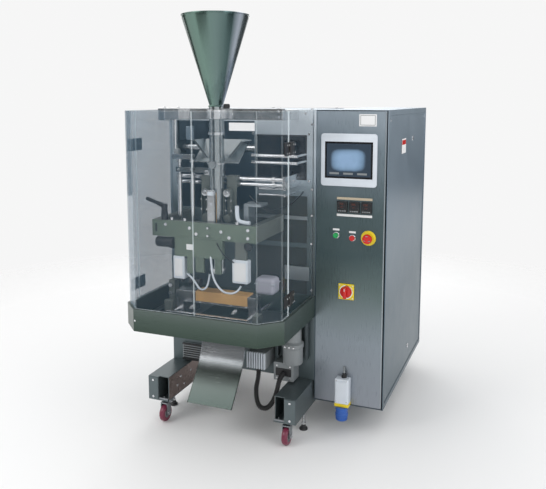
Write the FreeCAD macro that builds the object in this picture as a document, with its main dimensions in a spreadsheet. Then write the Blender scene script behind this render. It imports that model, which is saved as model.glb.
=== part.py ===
"""Vertical form fill sealer: bagging machine with a film bay, a sealing unit and a control cabinet.

+Z is up, +X is the operator's right and +Y runs from the operator to the back of the machine.
The origin is on the floor, under the middle of the machine. All sizes are in millimetres.
"""
import FreeCAD
import Part
import Sketcher
import math
import os
import re

Vector = FreeCAD.Vector

# ---------------------------------------------------------------- driving dimensions
SIZES = {
    # overall layout
    "guard_width": 690,
    "cabinet_width": 300,
    "guard_depth": 440,
    "body_depth": 880,
    "box_depth": 420,
    "body_top": 1360,
    "panel": 3,
    # feet, casters and levelling feet
    "foot_bottom": 98,
    "foot_height": 106,
    "foot_width": 50,
    "foot_reach": 220,
    "foot_length": 1040,
    "foot_gap": 5,
    "shelf_width": 45,
    "foot_recess": 12,
    "shelf_thick": 4,
    "caster_inset": 70,
    "caster_setback": 45,
    "caster_spread": 900,
    "caster_trail": 25,
    "caster_gap": 0.3,
    "wheel_radius": 37.5,
    "wheel_width": 24,
    "axle_radius": 4,
    "fork_plate": 3.5,
    "fork_gap": 1.5,
    "pivot_radius": 22,
    "leveller_inset": 25,
    "leveller_setback": 170,
    "leveller_spread": 680,
    "leveller_rod": 6,
    "pad_radius": 18,
    "pad_height": 22,
    # frame and skins of the film box
    "post": 30,
    "window_low": 1076,
    "window_high": 1247,
    "window_width": 214,
    "window_margin": 48,
    "bay_low": 925,
    "bay_high": 1310,
    "bay_width": 375,
    "bay_margin": 40,
    # control cabinet
    "cabinet_bottom": 118,
    "cabinet_wall": 2,
    "door_depth": 18,
    "door_gap": 1.5,
    "door_swing_gap": 5,
    "door_pin": 4,
    "door_pin_inset": 7,
    "door_pin_depth": 9,
    "side_margin": 22,
    "lock_radius": 11,
    "lock_depth": 527,
    "lock_high": 1223,
    "lock_low": 219,
    "bezel_offset": 9.5,
    "bezel_width": 233,
    "bezel_height": 214,
    "bezel_thick": 6,
    "bezel_low": 1051,
    "controller_offset": 16,
    "controller_width": 44,
    "controller_height": 47,
    "controller_pitch": 50.5,
    "controller_low": 943,
    "button_radius": 11,
    "button_proud": 7.5,
    "bezel_ring": 14.5,
    "button_high": 846,
    "stop_radius": 20,
    "stop_ring": 31,
    "stop_height": 24,
    "switch_high": 611,
    "switch_plate": 67,
    "switch_radius": 24,
    "inlet_offset": 17,
    "inlet_width": 60,
    "inlet_low": 122,
    "inlet_height": 122,
    "inlet_depth": 42,
    "socket_radius": 27,
    "socket_height": 57,
    # tray and acrylic guard
    "tray_bottom": 486,
    "tray_height": 90,
    "tray_chamfer": 78,
    "tray_wall": 3,
    "rim_width": 18,
    "tray_hole": 240,
    "guard_inset": 9.5,
    "acrylic": 5,
    "guard_gap": 1,
    "hinge_setback": 291.5,
    "hinge_low": 641,
    "hinge_high": 1219,
    "hinge_height": 50,
    "leaf_reach": 47,
    "leaf_thick": 2.5,
    "knuckle_radius": 4.5,
    "knuckle_gap": 0.3,
    "hinge_pin": 2,
    # filling column
    "tube_radius": 30,
    "tube_wall": 1.5,
    "tube_low": 700,
    "tube_high": 1372,
    "funnel_radius": 134,
    "funnel_top": 1728,
    "funnel_lip": 14,
    "neck_gap": 2.5,
    "neck_depth": 30,
    "beam_low": 1320,
    "beam_height": 46,
    "beam_thick": 25,
    "beam_left": 257,
    "beam_right": 270,
    "beam_arm": 30,
    "clamp_wall": 8,
    "collar_low": 1100,
    "collar_height": 50,
    "collar_wall": 6,
    "shoulder_width": 200,
    "shoulder_reach": 105,
    "shoulder_rise": 85,
    "sheet": 2,
    # sealing beam across the front of the tube
    "cross_left": 257,
    "cross_right": 205,
    "cross_low": 850,
    "cross_height": 67,
    "cross_front": 80,
    "cross_thick": 22,
    "block_left": 155,
    "block_right": 60,
    "block_height": 76,
    "seal_width": 32,
    "seal_thick": 16,
    "seal_low": 790,
    "seal_high": 1045,
    "seal_travel": 8,
    "seal_pin": 5,
    "lever_inset": 52,
    "lever_arm": 86,
    # rods and film pulling belts
    "rod_radius": 6,
    "rod_left": 170,
    "rod_pitch": 59,
    "rod_high": 1160,
    "rail_radius": 8,
    "rail_low": 1064,
    "rail_pitch": 22,
    "rail_gap": 2,
    "rail_left": 190,
    "rail_right": 270,
    "belt_low": 930,
    "belt_high": 1030,
    "pulley_radius": 15,
    "belt_thick": 2.5,
    "belt_width": 24,
    # horizontal sealing jaws
    "jaw_length": 296,
    "jaw_thick": 28,
    "jaw_low": 570,
    "jaw_height": 47,
    "jaw_gap": 4,
    "jaw_travel": 40,
    "jaw_rod": 10,
    "jaw_rod_high": 536,
    "jaw_lug": 32,
    "knife_thick": 1.5,
    "knife_travel": 12,
    # bag chute
    "chute_width": 200,
    "chute_bend_low": 300,
    "chute_end_low": 165,
    "conduit_radius": 10,
    # film roll station at the back
    "arm_thick": 8,
    "arm_spread": 500,
    "reel_radius": 12.5,
    "reel_setback": 300,
    "reel_high": 450,
    "dancer_radius": 8,
    "dancer_setback": 90,
    "dancer_high": 700,
    "dancer_arm": 130,
    "roller_radius": 18,
    "roller_high": 1190,
    "roller_setback": 60,
    # running clearance of shafts in their holes
    "running": 0.05,
    "clearance": 0.3,
}

# planes that the pieces share, written with the driving dimensions
LEFT = "(-(guard_width + cabinet_width) / 2)"
RIGHT = "((guard_width + cabinet_width) / 2)"
JOIN = "((guard_width - cabinet_width) / 2)"
FRONT = "(-(guard_depth + body_depth) / 2)"
BACK = "((guard_depth + body_depth) / 2)"
FACE = "((guard_depth - body_depth) / 2)"
BOX_BACK = "((guard_depth - body_depth) / 2 + box_depth)"
TUBE_X = "(-cabinet_width / 2)"
TUBE_Y = "(-body_depth / 2)"
FOOT_TOP = "(foot_bottom + foot_height)"
TRAY_TOP = "(tray_bottom + tray_height)"
MIDDLE = "(guard_width / 2)"

doc = FreeCAD.newDocument("sealer")
sizes = doc.addObject("Spreadsheet::Sheet", "sizes")
for row, (alias, number_of_mm) in enumerate(SIZES.items(), 1):
    sizes.set(f"A{row}", alias)
    sizes.set(f"B{row}", str(number_of_mm))
    sizes.setAlias(f"B{row}", alias)
doc.recompute()

finished = []


# ---------------------------------------------------------------- helpers
def formula(text):
    """The text with each driving dimension pointed at its cell of the sheet."""
    def cell(match):
        word = match.group(0)
        return "sizes." + word if word in SIZES else word
    return re.sub(r"[a-z][a-z_]*", cell, str(text))


def number(text):
    """The value in millimetres that the formula has now."""
    return float(sizes.evalExpression(formula(text)))


def bind(item, name, text):
    """Bind one property of an object to a formula."""
    item.setExpression(name, formula(text))


def place(item, x, y, z):
    """Bind the corner or centre of an object."""
    bind(item, "Placement.Base.x", x)
    bind(item, "Placement.Base.y", y)
    bind(item, "Placement.Base.z", z)


def part(item, label):
    """Mark an object as a finished sub-part; its label names its file."""
    item.Label = label
    finished.append(item)
    return item


def block(x, y, z, length, width, height):
    """A box from its low corner."""
    item = doc.addObject("Part::Box", "block")
    bind(item, "Length", length)
    bind(item, "Width", width)
    bind(item, "Height", height)
    place(item, x, y, z)
    return item


TURNS = {
    "x": FreeCAD.Rotation(Vector(0, 1, 0), 90),
    "y": FreeCAD.Rotation(Vector(1, 0, 0), -90),
    "z": FreeCAD.Rotation(),
}


def rod(axis, radius, length, x, y, z):
    """A cylinder that starts at the point and runs along +X, +Y or +Z."""
    item = doc.addObject("Part::Cylinder", "rod")
    item.Placement = FreeCAD.Placement(Vector(), TURNS[axis])
    bind(item, "Radius", radius)
    bind(item, "Height", length)
    place(item, x, y, z)
    return item


def fuse(*pieces):
    """One solid from touching or overlapping pieces."""
    item = doc.addObject("Part::MultiFuse", "fused")
    item.Shapes = list(pieces)
    item.Refine = True
    return item


def cut(base, *tools):
    """The base without the tools."""
    item = doc.addObject("Part::Cut", "cut")
    item.Base = base
    item.Tool = tools[0] if len(tools) == 1 else fuse(*tools)
    return item


def group(*pieces):
    """Separate solids that share one sub-part."""
    item = doc.addObject("Part::Compound", "group")
    item.Links = list(pieces)
    return item


def plane_of(body, role):
    """One of a body's own origin planes."""
    for feature in body.Origin.OriginFeatures:
        if feature.Role == role:
            return feature


def outline(body, role, points, lift="0"):
    """A closed sketch through the points on an origin plane, lifted along the plane's normal."""
    sketch = body.newObject("Sketcher::SketchObject", "outline")
    sketch.AttachmentSupport = [(plane_of(body, role), "")]
    sketch.MapMode = "FlatFace"
    bind(sketch, "AttachmentOffset.Base.z", lift)
    corners = [Vector(number(across), number(up), 0) for across, up in points]
    count = len(corners)
    for index, corner in enumerate(corners):
        sketch.addGeometry(Part.LineSegment(corner, corners[(index + 1) % count]), False)
    for index in range(count):
        sketch.addConstraint(Sketcher.Constraint("Coincident", index, 2, (index + 1) % count, 1))
    for index, (across, up) in enumerate(points):
        for kind, text, value in (("DistanceX", across, corners[index].x),
                                  ("DistanceY", up, corners[index].y)):
            place_in_list = sketch.addConstraint(Sketcher.Constraint(kind, -1, 1, index, 1, value))
            bind(sketch, f"Constraints[{place_in_list}]", text)
    return sketch


def pad(body, sketch, length, reverse=False):
    """Extrude a sketch."""
    feature = body.newObject("PartDesign::Pad", "pad")
    feature.Profile = sketch
    bind(feature, "Length", length)
    feature.Reversed = reverse
    return feature


def pocket(body, sketch, length, reverse=False):
    """Cut a sketch into the body; the solid has to lose volume."""
    doc.recompute()
    before = body.Shape.Volume
    feature = body.newObject("PartDesign::Pocket", "pocket")
    feature.Profile = sketch
    bind(feature, "Length", length)
    feature.Reversed = reverse
    doc.recompute()
    if body.Shape.Volume > before - 1:
        raise ValueError("a pocket of " + body.Label + " cuts nothing")
    return feature


def new_body(label):
    """An empty body for a finished sub-part or a piece of one."""
    body = doc.addObject("PartDesign::Body", "body")
    body.Label = label
    return body


def plate(role, points, length, lift="0", reverse=False):
    """A body that is one padded outline."""
    body = new_body("plate")
    pad(body, outline(body, role, points, lift), length, reverse)
    return body


def turned(label, points, x, y, z):
    """A body turned about a vertical axis from an outline of radius and height."""
    body = new_body(label)
    sketch = outline(body, "XZ_Plane", points)
    feature = body.newObject("PartDesign::Revolution", "turned")
    feature.Profile = sketch
    feature.ReferenceAxis = (sketch, ["V_Axis"])
    feature.Angle = 360
    place(body, x, y, z)
    return body


# ---------------------------------------------------------------- feet, casters, levelling feet
FOOT_FRONT = f"({FACE} - foot_reach)"


def leveller_place(side, row):
    """X and Y of a levelling foot, under the outer channel of its foot."""
    x = f"({LEFT} + leveller_inset)" if side == "left" else f"({JOIN} - foot_gap - leveller_inset)"
    y = f"({FOOT_FRONT} + leveller_setback)"
    if row == "rear":
        y = f"({FOOT_FRONT} + leveller_setback + leveller_spread)"
    return x, y


def make_foot(side):
    """A closed box channel with a shelf along its inner side that carries the casters."""
    channel_x = LEFT if side == "left" else f"({JOIN} - foot_gap - foot_width)"
    shelf_x = f"({LEFT} + foot_width)"
    if side == "right":
        shelf_x = f"({JOIN} - foot_gap - foot_width - shelf_width)"
    outer = block(channel_x, FOOT_FRONT, "foot_bottom", "foot_width", "foot_length", "foot_height")
    inner = block(f"{channel_x} + panel", f"{FOOT_FRONT} + panel", "foot_bottom + panel",
                  "foot_width - 2 * panel", "foot_length - 2 * panel", "foot_height - 2 * panel")
    holes = []
    for row_name in ("front", "rear"):
        x, y = leveller_place(side, row_name)
        holes.append(rod("z", "leveller_rod + clearance", "2 * panel", x, y, "foot_bottom - panel"))
    channel = cut(outer, inner, *holes)
    shelf = block(shelf_x, FOOT_FRONT, "foot_bottom", "shelf_width", "foot_length", "shelf_thick")
    lid = block(shelf_x, f"{FOOT_FRONT} + foot_recess", f"{FOOT_TOP} - panel", "shelf_width",
                "foot_length - foot_recess", "panel")
    wall_x = f"({shelf_x} + shelf_width - panel)" if side == "left" else shelf_x
    wall = block(wall_x, f"{FOOT_FRONT} + foot_recess", "foot_bottom", "panel",
                 "foot_length - foot_recess", "foot_height")
    part(fuse(channel, shelf, lid, wall), side + "_foot")


def caster_place(side, row):
    """X and Y of a caster's swivel axis."""
    x = f"({LEFT} + caster_inset)" if side == "left" else f"({JOIN} - foot_gap - shelf_width)"
    y = f"({FOOT_FRONT} + caster_setback)"
    if row == "rear":
        y = f"({FOOT_FRONT} + caster_setback + caster_spread)"
    return x, y


def make_caster(side, row):
    """A swivel fork with its axle, and the wheel that turns on the axle."""
    x, y = caster_place(side, row)
    axle_y = f"({y} - caster_trail)"
    half = "(wheel_width / 2 + fork_gap)"
    crown_low = "(2 * wheel_radius + 5)"
    crown = block(f"{x} - {half} - fork_plate", f"{axle_y} - 12", crown_low,
                  f"2 * {half} + 2 * fork_plate", "caster_trail + 30", "5")
    disc = rod("z", "pivot_radius", f"foot_bottom - caster_gap - {crown_low} - 2", x, y, f"{crown_low} + 2")
    legs = []
    for offset in (f"-{half} - fork_plate", half):
        legs.append(block(f"{x} + {offset}", f"{axle_y} - 12", "wheel_radius - 12",
                          "fork_plate", "24 + 6", f"{crown_low} - wheel_radius + 12"))
    axle = rod("x", "axle_radius", f"2 * {half} + 2 * fork_plate + 12", f"{x} - {half} - fork_plate - 6",
               axle_y, "wheel_radius")
    part(fuse(crown, disc, axle, *legs), f"caster_fork_{row}_{side}")
    tyre = rod("x", "wheel_radius", "wheel_width", f"{x} - wheel_width / 2", axle_y, "wheel_radius")
    bore = rod("x", "axle_radius + running", "wheel_width + 2", f"{x} - wheel_width / 2 - 1",
               axle_y, "wheel_radius")
    part(cut(tyre, bore), f"caster_wheel_{row}_{side}")


def make_leveller(side, row):
    """A threaded rod with a lock nut and a round pad."""
    x, y = leveller_place(side, row)
    stem = rod("z", "leveller_rod", "foot_bottom + foot_height / 2 - pad_height", x, y, "pad_height")
    nut = rod("z", "leveller_rod + 4", "8", x, y, "foot_bottom - caster_gap - 8")
    pad_disc = rod("z", "pad_radius", "pad_height", x, y, "0")
    part(fuse(stem, nut, pad_disc), f"levelling_foot_{row}_{side}")


for side_name in ("left", "right"):
    make_foot(side_name)
    for row_name in ("front", "rear"):
        make_caster(side_name, row_name)
        make_leveller(side_name, row_name)


# ---------------------------------------------------------------- film box
def make_body_frame():
    """Corner posts, rails between them and the two plates that carry the guide roller."""
    near_x = f"({LEFT} + panel)"
    far_x = f"({JOIN} - panel - post)"
    near_y = f"({FACE} + panel)"
    far_y = f"({BOX_BACK} - panel - post)"
    top = "(body_top - panel)"
    pieces = []
    for x in (near_x, far_x):
        for y in (near_y, far_y):
            pieces.append(block(x, y, FOOT_TOP, "post", "post", f"{top} - {FOOT_TOP}"))
        for z in (FOOT_TOP, f"{top} - post"):
            pieces.append(block(x, f"{near_y} + post", z, "post", f"{far_y} - {near_y} - post", "post"))
    for y in (near_y, far_y):
        for z in (FOOT_TOP, f"{top} - post"):
            pieces.append(block(f"{near_x} + post", y, z, f"{far_x} - {near_x} - post", "post", "post"))
    roller_y = f"({FACE} + roller_setback)"
    for x in (f"{near_x} + post", f"{far_x} - 6"):
        hanger = block(x, near_y, "roller_high - 30", "6", "roller_setback + 20", "60")
        hole = rod("x", "rail_radius + running", "8", f"{x} - 1", roller_y, "roller_high")
        pieces.append(cut(hanger, hole))
    part(group(*pieces), "body_frame")
    roller = rod("x", "roller_radius", f"{far_x} - {near_x} - post - 20", f"{near_x} + post + 10",
                 roller_y, "roller_high")
    journal = rod("x", "rail_radius", f"{far_x} - {near_x} - post", f"{near_x} + post", roller_y,
                  "roller_high")
    part(fuse(roller, journal), "guide_roller")


def make_body_front():
    """The front sheet with the film bay's opening and the small window beside it."""
    sheet = block(LEFT, FACE, FOOT_TOP, "guard_width", "panel", f"body_top - {FOOT_TOP}")
    bay = block(f"{LEFT} + bay_margin", f"{FACE} - 1", "bay_low", "bay_width", "panel + 2",
                "bay_high - bay_low")
    window = block(f"{JOIN} - window_margin - window_width", f"{FACE} - 1", "window_low",
                   "window_width", "panel + 2", "window_high - window_low")
    part(cut(sheet, bay, window), "body_front_panel")


def make_body_covers():
    """The left, rear and top sheets; the film comes in through the slot of the rear one."""
    left = block(LEFT, f"{FACE} + panel", FOOT_TOP, "panel", "box_depth - panel", f"body_top - {FOOT_TOP}")
    rear = block(f"{LEFT} + panel", f"{BOX_BACK} - panel", FOOT_TOP, "guard_width - panel", "panel",
                 f"body_top - {FOOT_TOP}")
    slot = block(f"{TUBE_X} - arm_spread / 2", f"{BOX_BACK} - panel - 1", "window_high",
                 "arm_spread", "panel + 2", "40")
    top = block(f"{LEFT} + panel", f"{FACE} + panel", "body_top - panel", "guard_width - panel",
                "box_depth - 2 * panel", "panel")
    part(group(left, cut(rear, slot), top), "body_covers")


make_body_frame()
make_body_front()
make_body_covers()


# ---------------------------------------------------------------- control cabinet
DOOR_LEFT = f"({JOIN} + cabinet_wall + door_gap)"
DOOR_RIGHT = f"({RIGHT} - panel - door_swing_gap)"
DOOR_LOW = "(cabinet_bottom + cabinet_wall + 2 * door_gap)"
DOOR_HIGH = "(body_top - cabinet_wall - 2 * door_gap)"
DOOR_PIN_X = f"({DOOR_RIGHT} - door_pin_inset)"
DOOR_PIN_Y = f"({FACE} + door_pin_depth)"
CONTROL_X = f"({JOIN} + cabinet_width / 2)"
LOCK_Y = f"({FACE} + lock_depth)"


def make_cabinet():
    """The shell, open at the front and in the right wall, with two pivot pins for the door."""
    height = "(body_top - cabinet_bottom)"
    outer = block(JOIN, FACE, "cabinet_bottom", "cabinet_width", "body_depth", height)
    hollow = block(f"{JOIN} + cabinet_wall", f"{FACE} - 1", "cabinet_bottom + cabinet_wall",
                   "cabinet_width - cabinet_wall - panel", "body_depth + 1 - cabinet_wall",
                   f"{height} - 2 * cabinet_wall")
    side_hole = block(f"{RIGHT} - panel - 1", f"{FACE} + side_margin", "cabinet_bottom + side_margin",
                      "panel + 2", "body_depth - 2 * side_margin", f"{height} - 2 * side_margin")
    pin_length = "(2 * door_gap + 12)"
    low_pin = rod("z", "door_pin", pin_length, DOOR_PIN_X, DOOR_PIN_Y, "cabinet_bottom + cabinet_wall")
    high_pin = rod("z", "door_pin", pin_length, DOOR_PIN_X, DOOR_PIN_Y,
                   f"body_top - cabinet_wall - {pin_length}")
    part(fuse(cut(outer, hollow, side_hole), low_pin, high_pin), "cabinet_shell")


def make_cabinet_door():
    """A folded sheet door that turns on the two pins at its right edge."""
    width = f"({DOOR_RIGHT} - {DOOR_LEFT})"
    height = f"({DOOR_HIGH} - {DOOR_LOW})"
    outer = block(DOOR_LEFT, FACE, DOOR_LOW, width, "door_depth", height)
    hollow = block(f"{DOOR_LEFT} + cabinet_wall", f"{FACE} + cabinet_wall", f"{DOOR_LOW} + cabinet_wall",
                   f"{width} - 2 * cabinet_wall", "door_depth", f"{height} - 2 * cabinet_wall")
    holes = [rod("z", "door_pin + running", f"{height} + 2", DOOR_PIN_X, DOOR_PIN_Y, f"{DOOR_LOW} - 1")]
    for x, z in (BUTTONS["green_button"], BUTTONS["red_button"], STOP, SWITCH):
        holes.append(rod("y", "leveller_rod + clearance", "cabinet_wall + 2", x, f"{FACE} - 1", z))
    part(cut(outer, hollow, *holes), "cabinet_door")


BUTTONS = {
    "green_button": (f"({JOIN} + 90)", "button_high"),
    "red_button": (f"({JOIN} + 159)", "button_high - 7"),
}
STOP = (f"({JOIN} + 226)", "button_high - 3")
SWITCH = (f"({JOIN} + 137)", "switch_high")


def make_push_button(name):
    """A round cap with a stem through the door."""
    x, z = BUTTONS[name]
    cap = rod("y", "button_radius", "button_proud", x, f"{FACE} - 4 - button_proud", z)
    stem = rod("y", "leveller_rod", "4 + door_depth / 2", x, f"{FACE} - 4", z)
    part(fuse(cap, stem), name)


def make_emergency_stop():
    """A mushroom head on a neck and a stem."""
    x, z = STOP
    back = f"({FACE} - 8)"
    head = rod("y", "stop_radius", "stop_height / 2", x, f"{back} - stop_height", z)
    neck = rod("y", "stop_radius * 0.6", "stop_height / 2 + 2", x, f"{back} - stop_height / 2 - 2", z)
    stem = rod("y", "leveller_rod", "8 + door_depth / 2", x, back, z)
    part(fuse(head, neck, stem), "emergency_stop")


def make_main_switch():
    """A round knob with a grip bar and a stem."""
    x, z = SWITCH
    back = f"({FACE} - bezel_thick - clearance)"
    knob = rod("y", "switch_radius", "14", x, f"{back} - 14", z)
    grip = block(f"{x} - 6", f"{back} - 28", f"{z} - switch_radius + 2", "12", "14", "2 * switch_radius - 4")
    stem = rod("y", "leveller_rod", "bezel_thick + clearance + door_depth / 2", x, back, z)
    part(fuse(knob, grip, stem), "main_switch_knob")


def ring(outer, inner, thick, x, z):
    """A flat ring on the front of the door."""
    disc = rod("y", outer, thick, x, f"{FACE} - {thick}", z)
    hole = rod("y", inner, f"{thick} + 2", x, f"{FACE} - {thick} - 1", z)
    return cut(disc, hole)


def make_control_fittings():
    """Temperature controllers, button bezels, emergency stop ring and main switch plate."""
    pieces = []
    for index in (-1, 0, 1):
        middle = f"({CONTROL_X} + controller_offset + {index} * controller_pitch)"
        pieces.append(block(f"{middle} - controller_width / 2", f"{FACE} - 5", "controller_low",
                            "controller_width", "5", "controller_height"))
    for x, z in BUTTONS.values():
        pieces.append(ring("bezel_ring", "button_radius + clearance", "5", x, z))
    pieces.append(ring("stop_ring", "stop_radius * 0.6 + clearance", "5", *STOP))
    x, z = SWITCH
    plate_block = block(f"{x} - switch_plate / 2", f"{FACE} - bezel_thick", f"{z} - switch_plate / 2",
                        "switch_plate", "bezel_thick", "switch_plate")
    pieces.append(cut(plate_block, rod("y", "leveller_rod + clearance", "bezel_thick + 2", x,
                                       f"{FACE} - bezel_thick - 1", z)))
    part(group(*pieces), "control_fittings")


def make_side_panel():
    """The lift-off side panel and its two quarter-turn locks."""
    gap = "0.5"
    height = "(body_top - cabinet_bottom)"
    sheet = block(f"{RIGHT} - panel - 1", f"{FACE} + side_margin + {gap}",
                  f"cabinet_bottom + side_margin + {gap}", "cabinet_wall",
                  f"body_depth - 2 * side_margin - 2 * {gap}",
                  f"{height} - 2 * side_margin - 2 * {gap}")
    holes = []
    for name, z in (("side_lock_upper", "lock_high"), ("side_lock_lower", "lock_low")):
        holes.append(rod("x", "lock_radius - 3 + running", "10", f"{RIGHT} - 10", LOCK_Y, z))
        head = rod("x", "lock_radius", "2", f"{RIGHT} - 2", LOCK_Y, z)
        stem = rod("x", "lock_radius - 3", "10", f"{RIGHT} - 12", LOCK_Y, z)
        cam = block(f"{RIGHT} - 12", f"{LOCK_Y} - 5", f"{z} - 28", "3", "10", "28")
        part(fuse(head, stem, cam), name)
    part(cut(sheet, *holes), "cabinet_side_panel")


def make_electrics():
    """The mounting plate in the cabinet with its power supply, drives and contactor row."""
    plate_y = f"({BACK} - cabinet_wall - 95)"
    x = f"({JOIN} + 20)"
    pieces = [block(x, plate_y, "cabinet_bottom + 82", "cabinet_width - 40", "4", "1080")]
    for z in ("cabinet_bottom + 102", "cabinet_bottom + 1122"):
        for side_x in (f"{x} + 20", f"{x} + cabinet_width - 60"):
            pieces.append(rod("y", "6", "91", side_x, f"{plate_y} + 4", z))
    for low, tall, deep in (("180", "150", "90"), ("390", "220", "120"), ("700", "90", "75"),
                            ("860", "240", "60")):
        pieces.append(block(f"{x} + 20", f"{plate_y} - {deep}", f"cabinet_bottom + {low}",
                            "cabinet_width - 80", deep, tall))
    part(fuse(*pieces), "electrics_plate")


make_cabinet()
make_cabinet_door()
for button_name in BUTTONS:
    make_push_button(button_name)
make_emergency_stop()
make_main_switch()
make_control_fittings()
make_side_panel()
make_electrics()
part(block(f"{CONTROL_X} - bezel_offset - bezel_width / 2", f"{FACE} - bezel_thick", "bezel_low",
           "bezel_width", "bezel_thick", "bezel_height"), "operator_panel")
inlet_x = f"({CONTROL_X} - inlet_offset)"
inlet_box = block(f"{inlet_x} - inlet_width / 2", f"{FACE} - inlet_depth", "inlet_low",
                  "inlet_width", "inlet_depth", "inlet_height")
inlet_cap = rod("z", "socket_radius", "socket_height", inlet_x, f"{FACE} - socket_radius - 5",
                "inlet_low - socket_height")
part(group(inlet_box, inlet_cap), "power_inlet")


# ---------------------------------------------------------------- tray and guard
def bay_outline(inset):
    """The bay's outline seen from above, moved inwards: square at the body, bevelled in front."""
    bevel = f"(tray_chamfer - {inset} * (2 - 2 ^ 0.5))"
    left = f"({LEFT} + {inset})"
    right = f"({JOIN} - {inset})"
    front = f"({FRONT} + {inset})"
    return left, right, front, bevel


def tray_points(inset, back):
    """Corners of the tray's outline at one inset."""
    left, right, front, bevel = bay_outline(inset)
    return [
        (left, back),
        (left, f"{front} + {bevel}"),
        (f"{left} + {bevel}", front),
        (f"{right} - {bevel}", front),
        (right, f"{front} + {bevel}"),
        (right, back),
    ]


def make_tray():
    """A bevelled tray with an inward rim and a hole for the finished bags."""
    body = new_body("tray")
    pad(body, outline(body, "XY_Plane", tray_points("0", FACE), "tray_bottom"), "tray_height")
    inner = tray_points("tray_wall", f"{FACE} - tray_wall")
    cavity = outline(body, "XY_Plane", inner, f"{TRAY_TOP} - tray_wall")
    pocket(body, cavity, "tray_height - 2 * tray_wall")
    mouth = outline(body, "XY_Plane", tray_points("rim_width", f"{FACE} - tray_wall"), TRAY_TOP)
    pocket(body, mouth, "tray_wall + 1")
    low_x = f"({TUBE_X} - tray_hole / 2)"
    high_x = f"({TUBE_X} + tray_hole / 2)"
    low_y = f"({TUBE_Y} - tray_hole / 4)"
    high_y = f"({TUBE_Y} + tray_hole / 4)"
    hole = outline(body, "XY_Plane", [(low_x, low_y), (high_x, low_y), (high_x, high_y), (low_x, high_y)],
                   "tray_bottom + tray_wall")
    pocket(body, hole, "tray_wall + 1")
    part(body, "tray")


HINGE_Y = f"({FACE} - hinge_setback)"
GUARD_HIGH = "(body_top - 2)"


def make_side_guards():
    """The two fixed acrylic sheets beside the film bay."""
    height = f"({GUARD_HIGH} - {TRAY_TOP})"
    low_y = f"({HINGE_Y} + guard_gap / 2)"
    pieces = []
    for x in (f"{LEFT} + guard_inset", f"{JOIN} - guard_inset - acrylic"):
        pieces.append(block(x, low_y, TRAY_TOP, "acrylic", f"{FACE} - {low_y}", height))
    part(group(*pieces), "side_guards")


def make_guard_door(side):
    """A bent acrylic door: half of the front, a bevel and a short return to the hinge."""
    sign = "1" if side == "left" else "-1"
    wall = f"({LEFT} + guard_inset)" if side == "left" else f"({JOIN} - guard_inset)"
    front = f"({FRONT} + guard_inset)"
    bevel = "(tray_chamfer - guard_inset * (2 - 2 ^ 0.5))"
    turn = "(acrylic * (2 ^ 0.5 - 1))"
    seam = f"({LEFT} + {MIDDLE} - {sign} * guard_gap)"
    points = [
        (wall, f"{HINGE_Y} - guard_gap / 2"),
        (wall, f"{front} + {bevel}"),
        (f"{wall} + {sign} * {bevel}", front),
        (seam, front),
        (seam, f"{front} + acrylic"),
        (f"{wall} + {sign} * ({bevel} + {turn})", f"{front} + acrylic"),
        (f"{wall} + {sign} * acrylic", f"{front} + {bevel} + {turn}"),
        (f"{wall} + {sign} * acrylic", f"{HINGE_Y} - guard_gap / 2"),
    ]
    door = plate("XY_Plane", points, f"{GUARD_HIGH} - {TRAY_TOP} - guard_gap", f"{TRAY_TOP} + guard_gap")
    part(door, "guard_door_" + side)


def make_hinges():
    """Butt hinges outside the acrylic: a fixed leaf with the pin, and a leaf on each door."""
    fixed = []
    for side in ("left", "right"):
        moving = []
        sign = "-1" if side == "left" else "1"
        wall = f"({LEFT} + guard_inset)" if side == "left" else f"({JOIN} - guard_inset)"
        pin_x = f"({wall} + {sign} * (guard_inset - knuckle_radius))"
        leaf_x = f"{wall} - leaf_thick" if side == "left" else wall
        for middle in ("hinge_low", "hinge_high"):
            low = f"({middle} - hinge_height / 2)"
            third = "(hinge_height / 3)"
            reach = "(knuckle_radius + knuckle_gap)"
            leaf = block(leaf_x, f"{HINGE_Y} + {reach}", low, "leaf_thick", "leaf_reach", "hinge_height")
            tongue = block(leaf_x, HINGE_Y, f"{low} + {third}", "leaf_thick", reach, third)
            knuckle = rod("z", "knuckle_radius", third, pin_x, HINGE_Y, f"{low} + {third}")
            pin = rod("z", "hinge_pin", "hinge_height", pin_x, HINGE_Y, low)
            fixed.append(fuse(leaf, tongue, knuckle, pin))
            door_leaf = block(leaf_x, f"{HINGE_Y} - {reach} - leaf_reach", low, "leaf_thick",
                              "leaf_reach", "hinge_height")
            ends = []
            for start in (low, f"({low} + 2 * {third} + knuckle_gap)"):
                tall = f"({third} - knuckle_gap)"
                ends.append(block(leaf_x, f"{HINGE_Y} - {reach}", start, "leaf_thick", reach, tall))
                ends.append(rod("z", "knuckle_radius", tall, pin_x, HINGE_Y, start))
            bore = rod("z", "hinge_pin + running", "hinge_height + 2", pin_x, HINGE_Y, f"{low} - 1")
            moving.append(cut(fuse(door_leaf, *ends), bore))
        part(group(*moving), "door_leaves_" + side)
    part(group(*fixed), "guard_hinges")


make_tray()
make_side_guards()
make_guard_door("left")
make_guard_door("right")
make_hinges()


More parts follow.
